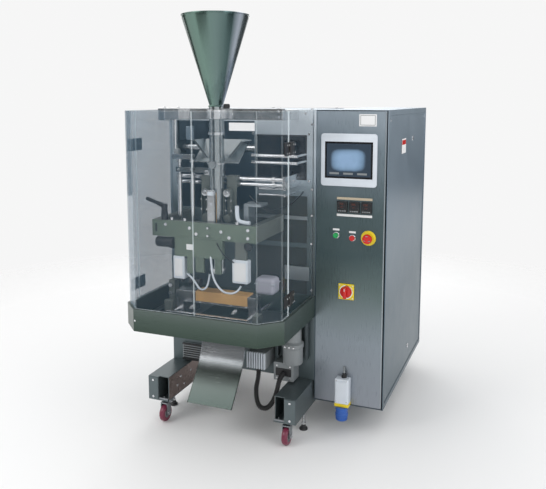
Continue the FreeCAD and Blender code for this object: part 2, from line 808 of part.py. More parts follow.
# ---------------------------------------------------------------- filling column
def make_top_beam():
    """The cross beam behind the tube, its left end block, two arms and the tube clamp."""
    low_x = f"({TUBE_X} - beam_left)"
    back = f"({TUBE_Y} + tube_radius + sheet)"
    bar = block(low_x, back, "beam_low", "beam_left + beam_right", "beam_thick", "beam_height")
    end = block(low_x, f"{TUBE_Y} - 15", "beam_low", "95", f"{back} - {TUBE_Y} + 15", "beam_height")
    pieces = [bar, end]
    for x in (low_x, f"{TUBE_X} + beam_right - beam_arm"):
        pieces.append(block(x, f"{back} + beam_thick", "beam_low", "beam_arm",
                            f"{FACE} - {back} - beam_thick", "body_top - beam_low"))
    clamp = rod("z", "tube_radius + clamp_wall", "beam_height - 10", TUBE_X, TUBE_Y, "beam_low + 5")
    hole = rod("z", "tube_radius + running", "beam_height + 2", TUBE_X, TUBE_Y, "beam_low - 1")
    part(cut(fuse(clamp, *pieces), hole), "top_beam")


# outer radius of the funnel's neck, which slides into the tube
NECK = "(tube_radius - tube_wall - neck_gap)"


def make_funnel():
    """A conical hopper with a rolled lip and a neck that drops into the tube."""
    outer = "funnel_radius"
    seat = "tube_high"
    points = [
        (f"{NECK} - tube_wall", f"{seat} - neck_depth"),
        (NECK, f"{seat} - neck_depth"),
        (NECK, seat),
        ("tube_radius", seat),
        ("tube_radius", f"{seat} + sheet"),
        (f"{NECK} + sheet", f"{seat} + sheet + 6"),
        (f"{outer} - 1", "funnel_top - funnel_lip"),
        (outer, "funnel_top - funnel_lip"),
        (outer, "funnel_top"),
        (f"{outer} - 3", "funnel_top"),
        (f"{outer} - 3", "funnel_top - funnel_lip"),
        (f"{NECK} - tube_wall", f"{seat} + 6"),
    ]
    part(turned("funnel", points, TUBE_X, TUBE_Y, "0"), "funnel")


def make_tube():
    """The filling tube that the film is wrapped round."""
    outer = rod("z", "tube_radius", "tube_high - tube_low", TUBE_X, TUBE_Y, "tube_low")
    inner = rod("z", "tube_radius - tube_wall", "tube_high - tube_low + 2", TUBE_X, TUBE_Y, "tube_low - 1")
    part(cut(outer, inner), "filling_tube")


def make_collar():
    """The forming collar: a sleeve with a sloping shoulder and a bracket to the two columns."""
    sleeve_top = "(collar_low + collar_height)"
    sleeve = rod("z", "tube_radius + collar_wall", "collar_height", TUBE_X, TUBE_Y, "collar_low")
    thick = "sheet * 2"
    shoulder = plate("YZ_Plane", [
        (f"{TUBE_Y} - 8", sleeve_top),
        (f"{TUBE_Y} + shoulder_reach", f"{sleeve_top} + shoulder_rise"),
        (f"{TUBE_Y} + shoulder_reach", f"{sleeve_top} + shoulder_rise + {thick}"),
        (f"{TUBE_Y} - 8", f"{sleeve_top} + {thick}"),
    ], "shoulder_width", f"{TUBE_X} - shoulder_width / 2")
    bracket = block(f"{TUBE_X} - rod_left - 12", f"{TUBE_Y} - 12", "collar_low + 8", "rod_left", "24", "20")
    holes = [rod("z", "tube_radius + sheet", "300", TUBE_X, TUBE_Y, "collar_low - 20")]
    for x in (f"{TUBE_X} - rod_left", f"{TUBE_X} - rod_left + rod_pitch"):
        holes.append(rod("z", "rod_radius + running", "60", x, TUBE_Y, "collar_low - 10"))
    hole = rod("z", "tube_radius + sheet", "300", TUBE_X, TUBE_Y, "collar_low - 20")
    part(group(cut(fuse(sleeve, bracket), *holes), cut(shoulder, hole)), "forming_collar")


make_top_beam()
make_funnel()
make_tube()
make_collar()


# ---------------------------------------------------------------- sealing beam and rods
CROSS_Y = f"({TUBE_Y} - cross_front)"
CROSS_BACK = f"({CROSS_Y} + cross_thick)"
CROSS_LOW_X = f"({TUBE_X} - cross_left)"
CROSS_HIGH_X = f"({TUBE_X} + cross_right)"


def make_crosshead():
    """The beam in front of the tube, two arms to the body, a shelf for the columns, the heater block."""
    bar = block(CROSS_LOW_X, CROSS_Y, "cross_low", "cross_left + cross_right", "cross_thick", "cross_height")
    arms = []
    for x in (CROSS_LOW_X, f"{CROSS_HIGH_X} - 30"):
        arms.append(block(x, CROSS_BACK, "cross_low", "30", f"{FACE} - {CROSS_BACK}", "cross_height"))
    shelf = block(f"{CROSS_LOW_X} + 30", CROSS_BACK, "cross_low", "130",
                  f"{TUBE_Y} - {CROSS_BACK} + 20", "25")
    heater = block(f"{TUBE_X} - block_left", CROSS_Y, "cross_low - block_height",
                   "block_left + block_right", "cross_thick", "block_height")
    holes = []
    for z in SEAL_PINS:
        holes.append(rod("y", "seal_pin + running", "cross_thick + 4", TUBE_X, f"{CROSS_Y} - 2", z))
    holes.append(rod("z", "rod_radius + running", "cross_height", f"{CROSS_LOW_X} + lever_inset",
                     f"{CROSS_Y} + cross_thick / 2", "cross_low + cross_height / 2"))
    part(cut(fuse(bar, shelf, heater, *arms), *holes), "crosshead")


SEAL_PINS = ("cross_low + 18", "cross_low + cross_height - 18")


def make_seal_bar():
    """The vertical sealing bar with two guide pins through the beam."""
    front = f"({CROSS_BACK} + 1)"
    bar = block(f"{TUBE_X} - seal_width / 2", front, "seal_low", "seal_width", "seal_thick",
                "seal_high - seal_low")
    pins = []
    for z in SEAL_PINS:
        pins.append(rod("y", "seal_pin", f"cross_thick + 1 + seal_travel + 4", TUBE_X,
                        f"{CROSS_Y} - seal_travel - 4", z))
    part(fuse(bar, *pins), "seal_bar")


def make_lever():
    """The clamping lever on the left end of the beam: a stub, a hub and a sloping arm."""
    x = f"({CROSS_LOW_X} + lever_inset)"
    y = f"({CROSS_Y} + cross_thick / 2)"
    base = "(cross_low + cross_height)"
    stub = rod("z", "rod_radius", "70", x, y, f"{base} - 25")
    hub = rod("z", "14", "22", x, y, f"{base} + 38")
    arm = plate("XZ_Plane", [
        (x, f"{base} + 42"),
        (x, f"{base} + 58"),
        (f"{x} - lever_arm", f"{base} + 84"),
        (f"{x} - lever_arm", f"{base} + 72"),
    ], "12", f"-({y} - 6)", True)
    collar = rod("z", "10", "20", x, y, base)
    part(fuse(stub, hub, arm, collar), "clamp_lever")


JAW_LEFT = f"({TUBE_X} - jaw_length / 2)"
JAW_RODS = (f"({TUBE_X} - jaw_length / 2 - jaw_lug / 2)", f"({TUBE_X} + jaw_length / 2 + jaw_lug / 2)")
RAIL_Y = f"({TUBE_Y} + tube_radius + rail_radius + rail_gap)"
RAIL_HEIGHTS = ("rail_low", "(rail_low + rail_pitch)")


def make_guide_rods():
    """Columns for the collar, rails for the belt units and rods for the jaws, with their blocks."""
    pieces = []
    seat = "(cross_low + 25)"
    for x in (f"({TUBE_X} - rod_left)", f"({TUBE_X} - rod_left + rod_pitch)"):
        pieces.append(rod("z", "rod_radius", f"rod_high - {seat}", x, TUBE_Y, seat))
    pieces.append(block(f"{TUBE_X} - rod_left - 32", f"{TUBE_Y} - 12", "rod_high", "rod_pitch + 38",
                        "24", "20"))
    pieces.append(rod("z", "8", "beam_low - rod_high - 20", f"{TUBE_X} - rod_left - 18", TUBE_Y,
                      "rod_high + 20"))
    rail_x = f"({TUBE_X} - rail_left)"
    for z in RAIL_HEIGHTS:
        pieces.append(rod("x", "rail_radius", "rail_left + rail_right", rail_x, RAIL_Y, z))
    for x in (f"{rail_x} - 12", f"{TUBE_X} + rail_right"):
        pieces.append(block(x, f"{RAIL_Y} - 12", "rail_low - 14", "12", f"{FACE} - {RAIL_Y} + 12",
                            "rail_pitch + 28"))
    front = f"({TUBE_Y} - jaw_gap / 2 - jaw_thick - jaw_travel - 30)"
    for x in JAW_RODS:
        pieces.append(rod("y", "jaw_rod", f"{FACE} - tray_wall - {front}", x, front, "jaw_rod_high"))
    pieces.append(block(f"{JAW_LEFT} - jaw_lug", f"{front} - 14", "jaw_rod_high - 15",
                        "jaw_length + 2 * jaw_lug", "14", "30"))
    part(group(*pieces), "guide_rods")


make_crosshead()
make_seal_bar()
make_lever()
make_guide_rods()


# ---------------------------------------------------------------- film pulling belts
def make_belt_unit(side):
    """A slide on the rails with a backing plate, a lower idler and the belt loop."""
    sign = "-1" if side == "left" else "1"
    middle = f"({TUBE_X} + {sign} * (tube_radius + 1 + belt_thick + pulley_radius))"
    plate_x = f"({middle} - 21 + {sign} * 9)"
    plate_y = f"({TUBE_Y} + belt_width / 2 + 2)"
    belt_y = f"({TUBE_Y} - belt_width / 2)"
    plate_low = "(belt_low - 25)"
    backing = block(plate_x, plate_y, plate_low, "42", "6", f"rail_low + rail_pitch + 12 - {plate_low}")
    slide = block(plate_x, f"{plate_y} + 6", "rail_low - 12", "42", f"{RAIL_Y} - {plate_y} + 6",
                  "rail_pitch + 24")
    holes = []
    for z in RAIL_HEIGHTS:
        holes.append(rod("x", "rail_radius + running", "60", f"{plate_x} - 6", RAIL_Y, z))
    holes.append(rod("y", "5 + running", "30", middle, f"{plate_y} - 12", "belt_high"))
    idler = rod("y", "pulley_radius - clearance", "belt_width + 2", middle, belt_y, "belt_low")
    frame = cut(fuse(backing, slide, idler), *holes)
    loop_outer = loop_shape(middle, belt_y, "(pulley_radius + belt_thick)")
    loop_inner = loop_shape(middle, belt_y, "pulley_radius")
    part(group(frame, cut(loop_outer, loop_inner)), "belt_unit_" + side)
    wheel = rod("y", "pulley_radius - clearance", "belt_width", middle, belt_y, "belt_high")
    shaft = rod("y", "5", "belt_width + 2 + 6", middle, belt_y, "belt_high")
    part(fuse(wheel, shaft), "drive_pulley_" + side)


def loop_shape(middle, y, radius):
    """A solid with two round ends, the outside or inside of a belt loop."""
    low = rod("y", radius, "belt_width", middle, y, "belt_low")
    high = rod("y", radius, "belt_width", middle, y, "belt_high")
    between = block(f"{middle} - {radius}", y, "belt_low", f"2 * {radius}", "belt_width",
                    "belt_high - belt_low")
    return fuse(low, high, between)


make_belt_unit("left")
make_belt_unit("right")


# ---------------------------------------------------------------- horizontal jaws
def make_jaw(name, sign):
    """A sealing jaw with a knife slot and two lugs that slide on the rods."""
    if sign == "-1":
        low_y = f"({TUBE_Y} - jaw_gap / 2 - jaw_thick)"
        slot_y = f"({TUBE_Y} - jaw_gap / 2 - knife_travel - 8)"
    else:
        low_y = f"({TUBE_Y} + jaw_gap / 2)"
        slot_y = f"({low_y} - 1)"
    bar = block(JAW_LEFT, low_y, "jaw_low", "jaw_length", "jaw_thick", "jaw_height")
    foot = "(jaw_rod_high - jaw_rod - 6)"
    lugs = []
    for x in (f"{JAW_LEFT} - jaw_lug", f"{JAW_LEFT} + jaw_length"):
        lugs.append(block(x, low_y, foot, "jaw_lug", "jaw_thick", f"jaw_low + jaw_height - {foot}"))
    middle = "(jaw_low + jaw_height / 2)"
    holes = [block(f"{JAW_LEFT} + 5", slot_y, f"{middle} - 1.5", "jaw_length - 10", "jaw_thick", "3")]
    for x in JAW_RODS:
        holes.append(rod("y", "jaw_rod + running", "jaw_thick + 2", x, f"{low_y} - 1", "jaw_rod_high"))
    part(cut(fuse(bar, *lugs), *holes), name)


def make_knife():
    """The cutting blade inside the rear jaw."""
    part(block(f"{JAW_LEFT} + 8", f"{TUBE_Y} + jaw_gap / 2 + 2", "jaw_low + jaw_height / 2 - knife_thick / 2",
               "jaw_length - 16", "18", "knife_thick"), "knife")


def make_seal_fittings():
    """White covers of the heater terminals, a connector block and a valve block."""
    low = "(cross_low - block_height)"
    pieces = [
        block(f"{TUBE_X} - 162", f"{CROSS_Y} + 2", f"{low} - 94", "50", "30", "94"),
        block(f"{TUBE_X} + 99", f"{CROSS_Y} + 2", f"{low} - 90", "78", "30", "95"),
        block(f"{TUBE_X} + 110", f"{CROSS_Y} + 5", f"{low} + 5", "55", "20", f"cross_low - {low} - 5"),
        block(f"{TUBE_X} + 100", f"{FACE} - 80", f"{TRAY_TOP} + panel", "90", "80", "75"),
    ]
    part(group(*pieces), "seal_fittings")


def make_chute():
    """A bent sheet that leads the bags forward from the tray."""
    top = "tray_bottom"
    back = f"({TUBE_Y} + tray_hole / 4)"
    bend = f"({TUBE_Y} + 20)"
    end = f"({TUBE_Y} - 100)"
    points = [
        (f"{back} + 25", top),
        (back, top),
        (bend, "chute_bend_low"),
        (end, "chute_end_low"),
        (f"{end} + 1.5", "chute_end_low - 1.5"),
        (f"{bend} + 2", "chute_bend_low - 1.5"),
        (f"{back} + 2", f"{top} - sheet"),
        (f"{back} + 25", f"{top} - sheet"),
    ]
    part(plate("YZ_Plane", points, "chute_width", f"{TUBE_X} - chute_width / 2"), "chute")


make_jaw("front_jaw", "-1")
make_jaw("rear_jaw", "1")
make_knife()
make_seal_fittings()
make_chute()


# ---------------------------------------------------------------- film roll station
ARM_LEFT = f"({TUBE_X} - arm_spread / 2)"
ARM_RIGHT = f"({TUBE_X} + arm_spread / 2)"
REEL_Y = f"({BOX_BACK} + reel_setback)"
DANCER_Y = f"({BOX_BACK} + dancer_setback)"


def make_film_brackets():
    """Two arms for the reel shaft and two ears for the dancer."""
    pieces = []
    for x in (f"{ARM_LEFT} - arm_thick", ARM_RIGHT):
        arm = block(x, BOX_BACK, "reel_high - 50", "arm_thick", "reel_setback + 50", "100")
        bore = rod("x", "reel_radius + running", "arm_thick + 2", f"{x} - 1", REEL_Y, "reel_high")
        pieces.append(cut(arm, bore))
        ear = block(x, BOX_BACK, "dancer_high - 25", "arm_thick", "dancer_setback + 25", "50")
        pivot = rod("x", "dancer_radius + running", "arm_thick + 2", f"{x} - 1", DANCER_Y, "dancer_high")
        pieces.append(cut(ear, pivot))
    part(group(*pieces), "film_brackets")


def make_reel_shaft():
    """The reel shaft with its two cones."""
    length = "(arm_spread + 2 * arm_thick + 20)"
    shaft = rod("x", "reel_radius", length, f"{ARM_LEFT} - arm_thick - 10", REEL_Y, "reel_high")
    cones = []
    for x in (f"{ARM_LEFT} + 30", f"{ARM_RIGHT} - 50"):
        cones.append(rod("x", "38", "20", x, REEL_Y, "reel_high"))
    part(fuse(shaft, *cones), "reel_shaft")


def make_dancer():
    """The dancer: a pivot shaft, two arms and the roller that rides on the film."""
    shaft = rod("x", "dancer_radius", "arm_spread + 2 * arm_thick", f"{ARM_LEFT} - arm_thick", DANCER_Y,
                "dancer_high")
    roller = rod("x", "roller_radius", "arm_spread - 60", f"{ARM_LEFT} + 30", f"{DANCER_Y} + dancer_arm",
                 "dancer_high")
    arms = []
    for x in (f"{ARM_LEFT} + 20", f"{ARM_RIGHT} - 30"):
        arms.append(block(x, f"{DANCER_Y} - 12", "dancer_high - 12", "10", "dancer_arm + 24", "24"))
    part(fuse(shaft, roller, *arms), "dancer_arm")


make_film_brackets()
make_reel_shaft()
make_dancer()


# ---------------------------------------------------------------- below the tray
def make_under_fittings():
    """A cooling fan, a finned heat sink and a terminal box on the front sheet."""
    pieces = [
        block(f"{LEFT} + 54", f"{FACE} - 10", f"{FOOT_TOP} + 8", "119", "10", "78"),
        block(f"{TUBE_X} + 76", f"{FACE} - 100", f"{FOOT_TOP} + 59", "87", "100", "71"),
        block(f"{TUBE_X} + 185", f"{FACE} - 70", f"{FOOT_TOP} + 6", "90", "70", "80"),
    ]
    part(group(*pieces), "under_fittings")


def rounded_path(points):
    """Straight runs joined by tangent arcs; prints each arc's radius."""
    edges = []
    start = points[0]
    for before, corner, after in zip(points, points[1:], points[2:]):
        into = (corner - before).normalize()
        out = (after - corner).normalize()
        turn = into.getAngle(out)
        setback = 0.45 * min(corner.distanceToPoint(before), corner.distanceToPoint(after))
        print("conduit bend radius", round(setback / math.tan(turn / 2), 1))
        entry = corner - into * setback
        leave = corner + out * setback
        bisector = (out - into).normalize()
        radius = setback / math.tan(turn / 2)
        middle = corner + bisector * (radius / math.cos(turn / 2) - radius)
        edges.append(Part.LineSegment(start, entry).toShape())
        edges.append(Part.Arc(entry, middle, leave).toShape())
        start = leave
    edges.append(Part.LineSegment(start, points[-1]).toShape())
    return Part.Wire(edges)


def make_conduit():
    """The corrugated hose between the terminal box and the heat sink, held at both ends."""
    tube_x = number(TUBE_X)
    face = number(FACE)
    low = number(FOOT_TOP)
    route = [
        Vector(tube_x + 230, face - 70, low + 40),
        Vector(tube_x + 230, face - 116, low + 40),
        Vector(tube_x + 224, face - 142, low - 36),
        Vector(tube_x + 190, face - 150, low - 94),
        Vector(tube_x + 143, face - 146, low - 92),
        Vector(tube_x + 120, face - 116, low - 30),
        Vector(tube_x + 120, face - 80, low + 12),
        Vector(tube_x + 120, face - 80, low + 59),
    ]
    wire = rounded_path(route)
    radius = number("conduit_radius")
    ring_edge = Part.makeCircle(radius, route[0], (route[1] - route[0]).normalize())
    hose = wire.makePipeShell([Part.Wire([ring_edge])], True, False)
    item = doc.addObject("Part::Feature", "conduit")
    item.Shape = hose
    item.Placement = FreeCAD.Placement()
    part(item, "conduit")


make_under_fittings()
make_conduit()


# ---------------------------------------------------------------- check and export
doc.recompute()
for item in doc.Objects:
    if "Invalid" in item.State or "Error" in item.State:
        raise ValueError(f"{item.Name} ({item.Label}) failed: {item.State}")
os.makedirs("parts", exist_ok=True)
for item in finished:
    shape = item.Shape
    if shape.isNull() or not shape.isValid() or not shape.Solids:
        raise ValueError(item.Label + " has no valid shape")
    print(f"{item.Label}: {len(shape.Solids)} solids, {shape.Volume / 1000:.1f} cm3")
    shape.exportStep(f"parts/{item.Label}.step")
print(len(finished), "sub-parts")
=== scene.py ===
"""Looks of the vertical form fill sealer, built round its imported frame."""
import math

import bpy
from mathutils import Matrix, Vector


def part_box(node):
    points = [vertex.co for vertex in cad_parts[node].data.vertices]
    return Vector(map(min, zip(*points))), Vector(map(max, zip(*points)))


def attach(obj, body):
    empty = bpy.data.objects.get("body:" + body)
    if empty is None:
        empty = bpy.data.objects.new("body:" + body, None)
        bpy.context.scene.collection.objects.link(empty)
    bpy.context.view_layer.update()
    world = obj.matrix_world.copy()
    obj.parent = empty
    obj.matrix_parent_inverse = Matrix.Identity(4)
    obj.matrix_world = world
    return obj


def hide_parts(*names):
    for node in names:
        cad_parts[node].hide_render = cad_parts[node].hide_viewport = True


bl_info = {"name": "Form Fill Sealer", "version": (1, 0, 0), "blender": (4, 5, 0),
    "location": "View3D > Sidebar > Sealer", "description":
    "Detailed pieces and finishes for a vertical form fill sealer", "category": "Object",}

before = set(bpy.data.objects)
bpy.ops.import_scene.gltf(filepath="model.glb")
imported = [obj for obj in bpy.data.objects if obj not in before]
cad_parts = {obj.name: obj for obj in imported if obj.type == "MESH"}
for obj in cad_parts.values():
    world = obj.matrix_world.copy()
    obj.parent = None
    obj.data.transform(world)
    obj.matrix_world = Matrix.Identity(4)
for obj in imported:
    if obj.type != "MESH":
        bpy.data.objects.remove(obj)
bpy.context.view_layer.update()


# ---------------------------------------------------------------- settings
class SealerSizes(bpy.types.PropertyGroup):
    """Sizes of the details that the frame does not fix."""

    screw: bpy.props.FloatProperty(name="Screw head", description="Radius of the socket screw heads",
        default=0.0045, unit="LENGTH")
    bezel: bpy.props.FloatProperty(name="Screen bezel",
        description="Width of the white frame round the screen", default=0.024, unit="LENGTH")
    air_tube: bpy.props.FloatProperty(name="Air tube", description="Radius of the pneumatic tubing",
        default=0.004, unit="LENGTH")
    rib: bpy.props.FloatProperty(name="Conduit rib",
        description="Pitch of the ribs on the corrugated hose", default=0.0065, unit="LENGTH")


class SealerColours(bpy.types.PropertyGroup):
    """Colours of the finishes."""

    steel: bpy.props.FloatVectorProperty(name="Steel", description="Brushed stainless sheet",
        subtype="COLOR", default=(0.42, 0.46, 0.49))
    green: bpy.props.FloatVectorProperty(name="Green paint", description="Painted castings",
        subtype="COLOR", default=(0.125, 0.165, 0.125))
    acrylic: bpy.props.FloatVectorProperty(name="Acrylic", description="Tint of the guard sheets",
        subtype="COLOR", default=(0.12, 0.20, 0.27))
    tape: bpy.props.FloatVectorProperty(name="Jaw tape", description="Glass cloth tape on the jaws",
        subtype="COLOR", default=(0.62, 0.36, 0.13))
    wheel: bpy.props.FloatVectorProperty(name="Wheel", description="Cast tread of the casters",
        subtype="COLOR", default=(0.17, 0.025, 0.055))
    floor: bpy.props.FloatVectorProperty(name="Floor", description="Studio floor", subtype="COLOR",
        default=(0.885, 0.885, 0.885))


# ---------------------------------------------------------------- shader helpers
class Value:
    """A shader socket that takes part in Python expressions."""

    def __init__(self, graph, socket):
        self.graph = graph
        self.socket = socket

    def math(self, operation, other, swap=False):
        """A Math node on this value and another one."""
        first, second = (other, self) if swap else (self, other)
        return self.graph.node("ShaderNodeMath", {"operation": operation}, {0: first, 1: second})

    def __add__(self, other):
        return self.math("ADD", other)

    def __radd__(self, other):
        return self.math("ADD", other, True)

    def __sub__(self, other):
        return self.math("SUBTRACT", other)

    def __rsub__(self, other):
        return self.math("SUBTRACT", other, True)

    def __mul__(self, other):
        return self.math("MULTIPLY", other)

    def __rmul__(self, other):
        return self.math("MULTIPLY", other, True)

    def __truediv__(self, other):
        return self.math("DIVIDE", other)

    def __gt__(self, other):
        return self.math("GREATER_THAN", other)

    def __lt__(self, other):
        return self.math("LESS_THAN", other)


class Graph:
    """The node tree of one material."""

    def __init__(self, name):
        self.material = bpy.data.materials.new(name)
        self.material.use_nodes = True
        self.tree = self.material.node_tree
        self.shader = self.tree.nodes["Principled BSDF"]
        self.place = self.node("ShaderNodeTexCoord", output="Object")

    def node(self, kind, settings=None, inputs=None, output=0):
        """Any node: its settings first, then the values or links of its sockets."""
        made = self.tree.nodes.new(kind)
        for key, value in (settings or {}).items():
            if key == "stops":
                ramp = made.color_ramp
                while len(ramp.elements) < len(value):
                    ramp.elements.new(0.5)
                for element, (position, colour) in zip(ramp.elements, value):
                    element.position = position
                    element.color = (*colour, 1)
            else:
                setattr(made, key, value)
        for key, value in (inputs or {}).items():
            self.feed(made.inputs[key], value)
        return Value(self, made.outputs[output])

    def feed(self, socket, value):
        """A link from a Value, or a constant set on the socket."""
        if isinstance(value, Value):
            self.tree.links.new(value.socket, socket)
        elif hasattr(value, "__len__") and len(value) == 3 and socket.type == "RGBA":
            socket.default_value = (*value, 1)
        else:
            socket.default_value = value

    def stretched(self, scale):
        """Object coordinates with a scale for each axis."""
        return self.node("ShaderNodeMapping", inputs={"Vector": self.place, "Scale": scale},
            output="Vector")

    def noise(self, scale, detail=3.0, stretch=None):
        """Noise from 0 to 1."""
        vector = self.stretched(stretch) if stretch else self.place
        return self.node("ShaderNodeTexNoise", inputs={"Vector": vector, "Scale": scale, "Detail": detail},
            output="Fac")

    def ramp(self, value, stops):
        """Colours along a value."""
        return self.node("ShaderNodeValToRGB", {"stops": stops}, {"Fac": value}, output="Color")

    def mix(self, factor, first, second, blend="MIX"):
        """A blend of two colours."""
        return self.node("ShaderNodeMix", {"data_type": "RGBA", "blend_type": blend}, {0: factor, 6: first,
            7: second}, output=2)

    def axis(self, name):
        """One object coordinate, in metres."""
        return self.node("ShaderNodeSeparateXYZ", inputs={"Vector": self.place}, output=name)

    def bump(self, height, strength, distance=0.001):
        """A bump for the shader's normal."""
        return self.node("ShaderNodeBump", inputs={"Height": height, "Strength": strength,
            "Distance": distance}, output="Normal")

    def surface(self, **inputs):
        """Feeds the principled shader; an underscore in a name stands for a space."""
        for key, value in inputs.items():
            self.feed(self.shader.inputs[key.replace("_", " ")], value)
        return self.material


def shade(colour, factor):
    """A colour made lighter or darker."""
    return tuple(min(1, channel * factor) for channel in colour)


def sheet_steel(name, colour, grain="Z", rough=0.34, metal=0.85, bands=None):
    """Brushed stainless sheet with grain lines, faint smears and optional bands of painted reflection,
    highlight and shade along its height.
    """
    graph = Graph(name)
    stretch = {"X": (0.02, 1, 1), "Y": (1, 0.02, 1), "Z": (1, 1, 0.02)}[grain]
    grain_lines = graph.noise(900, 2, stretch)
    smears = graph.noise(6, 4)
    base = colour
    # the bands paint reflection, highlight and shade into the base colour by height
    if bands:
        low, high, stops = bands
        height = (graph.axis("Z") - low) / (high - low)
        base = graph.ramp(height + (smears - 0.5) * 0.06, stops)
    tone = graph.mix(grain_lines, (0.78, 0.78, 0.78), (1.12, 1.12, 1.12))
    tinted = graph.mix(1.0, base, tone, "MULTIPLY")
    soft = graph.mix(smears, (0.88, 0.90, 0.90), (1.06, 1.05, 1.04))
    return graph.surface(Base_Color=graph.mix(1.0, tinted, soft, "MULTIPLY"), Metallic=metal,
        Roughness=rough + (grain_lines - 0.5) * 0.16 + (smears - 0.5) * 0.12,
        Normal=graph.bump(grain_lines, 0.10, 0.0004),)


def bright_metal(name, colour=(0.72, 0.73, 0.74), rough=0.18):
    """Ground or polished metal with fine turning marks."""
    graph = Graph(name)
    marks = graph.noise(700, 3)
    wear = graph.noise(30, 4)
    return graph.surface(Base_Color=graph.mix(wear, shade(colour, 0.82), shade(colour, 1.05)),
        Metallic=0.95, Roughness=rough + wear * 0.12, Normal=graph.bump(marks, 0.06, 0.0003),)


def paint(name, colour, rough=0.42, peel=0.12):
    """Sprayed paint: orange peel, slight fading and rubbed spots."""
    graph = Graph(name)
    fine = graph.noise(420, 2)
    fading = graph.noise(9, 5)
    rubbed = graph.noise(70, 6) > 0.68
    faded = graph.mix(fading, shade(colour, 0.82), shade(colour, 1.18))
    return graph.surface(Base_Color=graph.mix(rubbed * 0.35, faded, shade(colour, 1.6)),
        Roughness=rough + (fading - 0.5) * 0.2, Normal=graph.bump(fine, peel, 0.0004),)


def plastic(name, colour, rough=0.38, grain=260.0, strength=0.05):
    """Moulded plastic with a fine texture and uneven gloss."""
    graph = Graph(name)
    texture = graph.noise(grain, 2)
    gloss = graph.noise(14, 3)
    return graph.surface(Base_Color=graph.mix(gloss, shade(colour, 0.9), shade(colour, 1.08)),
        Roughness=rough + (gloss - 0.5) * 0.14, Normal=graph.bump(texture, strength, 0.0004),)


def clear_sheet(name, colour, alpha):
    """Clear acrylic with a light tint, faint dust and smears."""
    graph = Graph(name)
    dust = graph.noise(60, 3)
    smears = graph.noise(3, 3, (1, 1, 0.4))
    return graph.surface(Base_Color=graph.mix(smears, shade(colour, 0.92), shade(colour, 1.1)),
        Roughness=0.05 + dust * 0.05, Alpha=alpha + (smears - 0.5) * 0.05 + (dust - 0.5) * 0.02, IOR=1.49,
        Coat_Weight=0.4,)


def glowing(name, colour, strength):
    """A lit display with soft brighter patches."""
    graph = Graph(name)
    patches = graph.noise(14, 2)
    tone = graph.mix(patches, shade(colour, 0.75), shade(colour, 1.25))
    return graph.surface(Base_Color=tone, Emission_Color=tone, Emission_Strength=strength, Roughness=0.15)


def woven_tape(name, colour):
    """Glass cloth tape: a fine plain weave with darker heated patches."""
    graph = Graph(name)
    warp = graph.node("ShaderNodeTexWave", {"bands_direction": "X"}, {"Vector": graph.place,
        "Scale": 260.0, "Distortion": 0.4}, output="Fac")
    weft = graph.node("ShaderNodeTexWave", {"bands_direction": "Z"}, {"Vector": graph.place,
        "Scale": 260.0, "Distortion": 0.4}, output="Fac")
    weave = warp * weft
    heat = graph.noise(22, 4)
    tone = graph.mix(heat, shade(colour, 0.7), shade(colour, 1.2))
    return graph.surface(Base_Color=graph.mix(weave * 0.5, tone, shade(colour, 1.45)),
        Roughness=0.42 + (heat - 0.5) * 0.2, Normal=graph.bump(weave, 0.35, 0.0004),)


def funnel_steel():
    """Drawn cone steel with painted reflection: lighter and darker bands round the cone, with a painted
    highlight band, run down its length.
    """
    graph = Graph("funnel_steel")
    across = (graph.axis("X") - TUBE_X) * 0.93 + (graph.axis("Y") - TUBE_Y) * 0.37
    reach = (graph.axis("Z") - 1.372) * 0.30 + 0.034
    painted_sheen = across / reach * 0.5 + 0.5
    wear = graph.noise(7, 3, (1, 1, 0.15))
    # the ramp across the cone is painted reflection, with a painted highlight band near one side
    tone = graph.ramp(painted_sheen + (wear - 0.5) * 0.10, [(0.0, (0.12, 0.19, 0.16)), (0.28, (0.18, 0.28, 0.24)),
        (0.55, (0.15, 0.22, 0.21)), (0.78, (0.06, 0.105, 0.105)), (0.88, (0.34, 0.38, 0.44)), (1.0, (0.14,
        0.19, 0.18))])
    return graph.surface(Base_Color=tone, Metallic=0.9, Roughness=0.17 + wear * 0.08)


def lit_screen():
    """A lit display: a brighter middle field that fades to a dark grey-blue at the edges."""
    graph = Graph("lit_screen")
    across = graph.axis("X") - 0.333
    up = graph.axis("Z") - 1.158
    spread = across * across * across * across * 33000 + up * up * up * up * 190000
    clouds = graph.noise(22, 3)
    tone = graph.ramp(spread + (clouds - 0.5) * 0.5, [(0.0, (0.22, 0.33, 0.48)), (0.45, (0.14, 0.22,
        0.32)), (0.8, (0.06, 0.09, 0.13)), (1.0, (0.035, 0.05, 0.07))])
    return graph.surface(Base_Color=tone, Emission_Color=tone, Emission_Strength=0.28, Roughness=0.10)


FINISH = {}


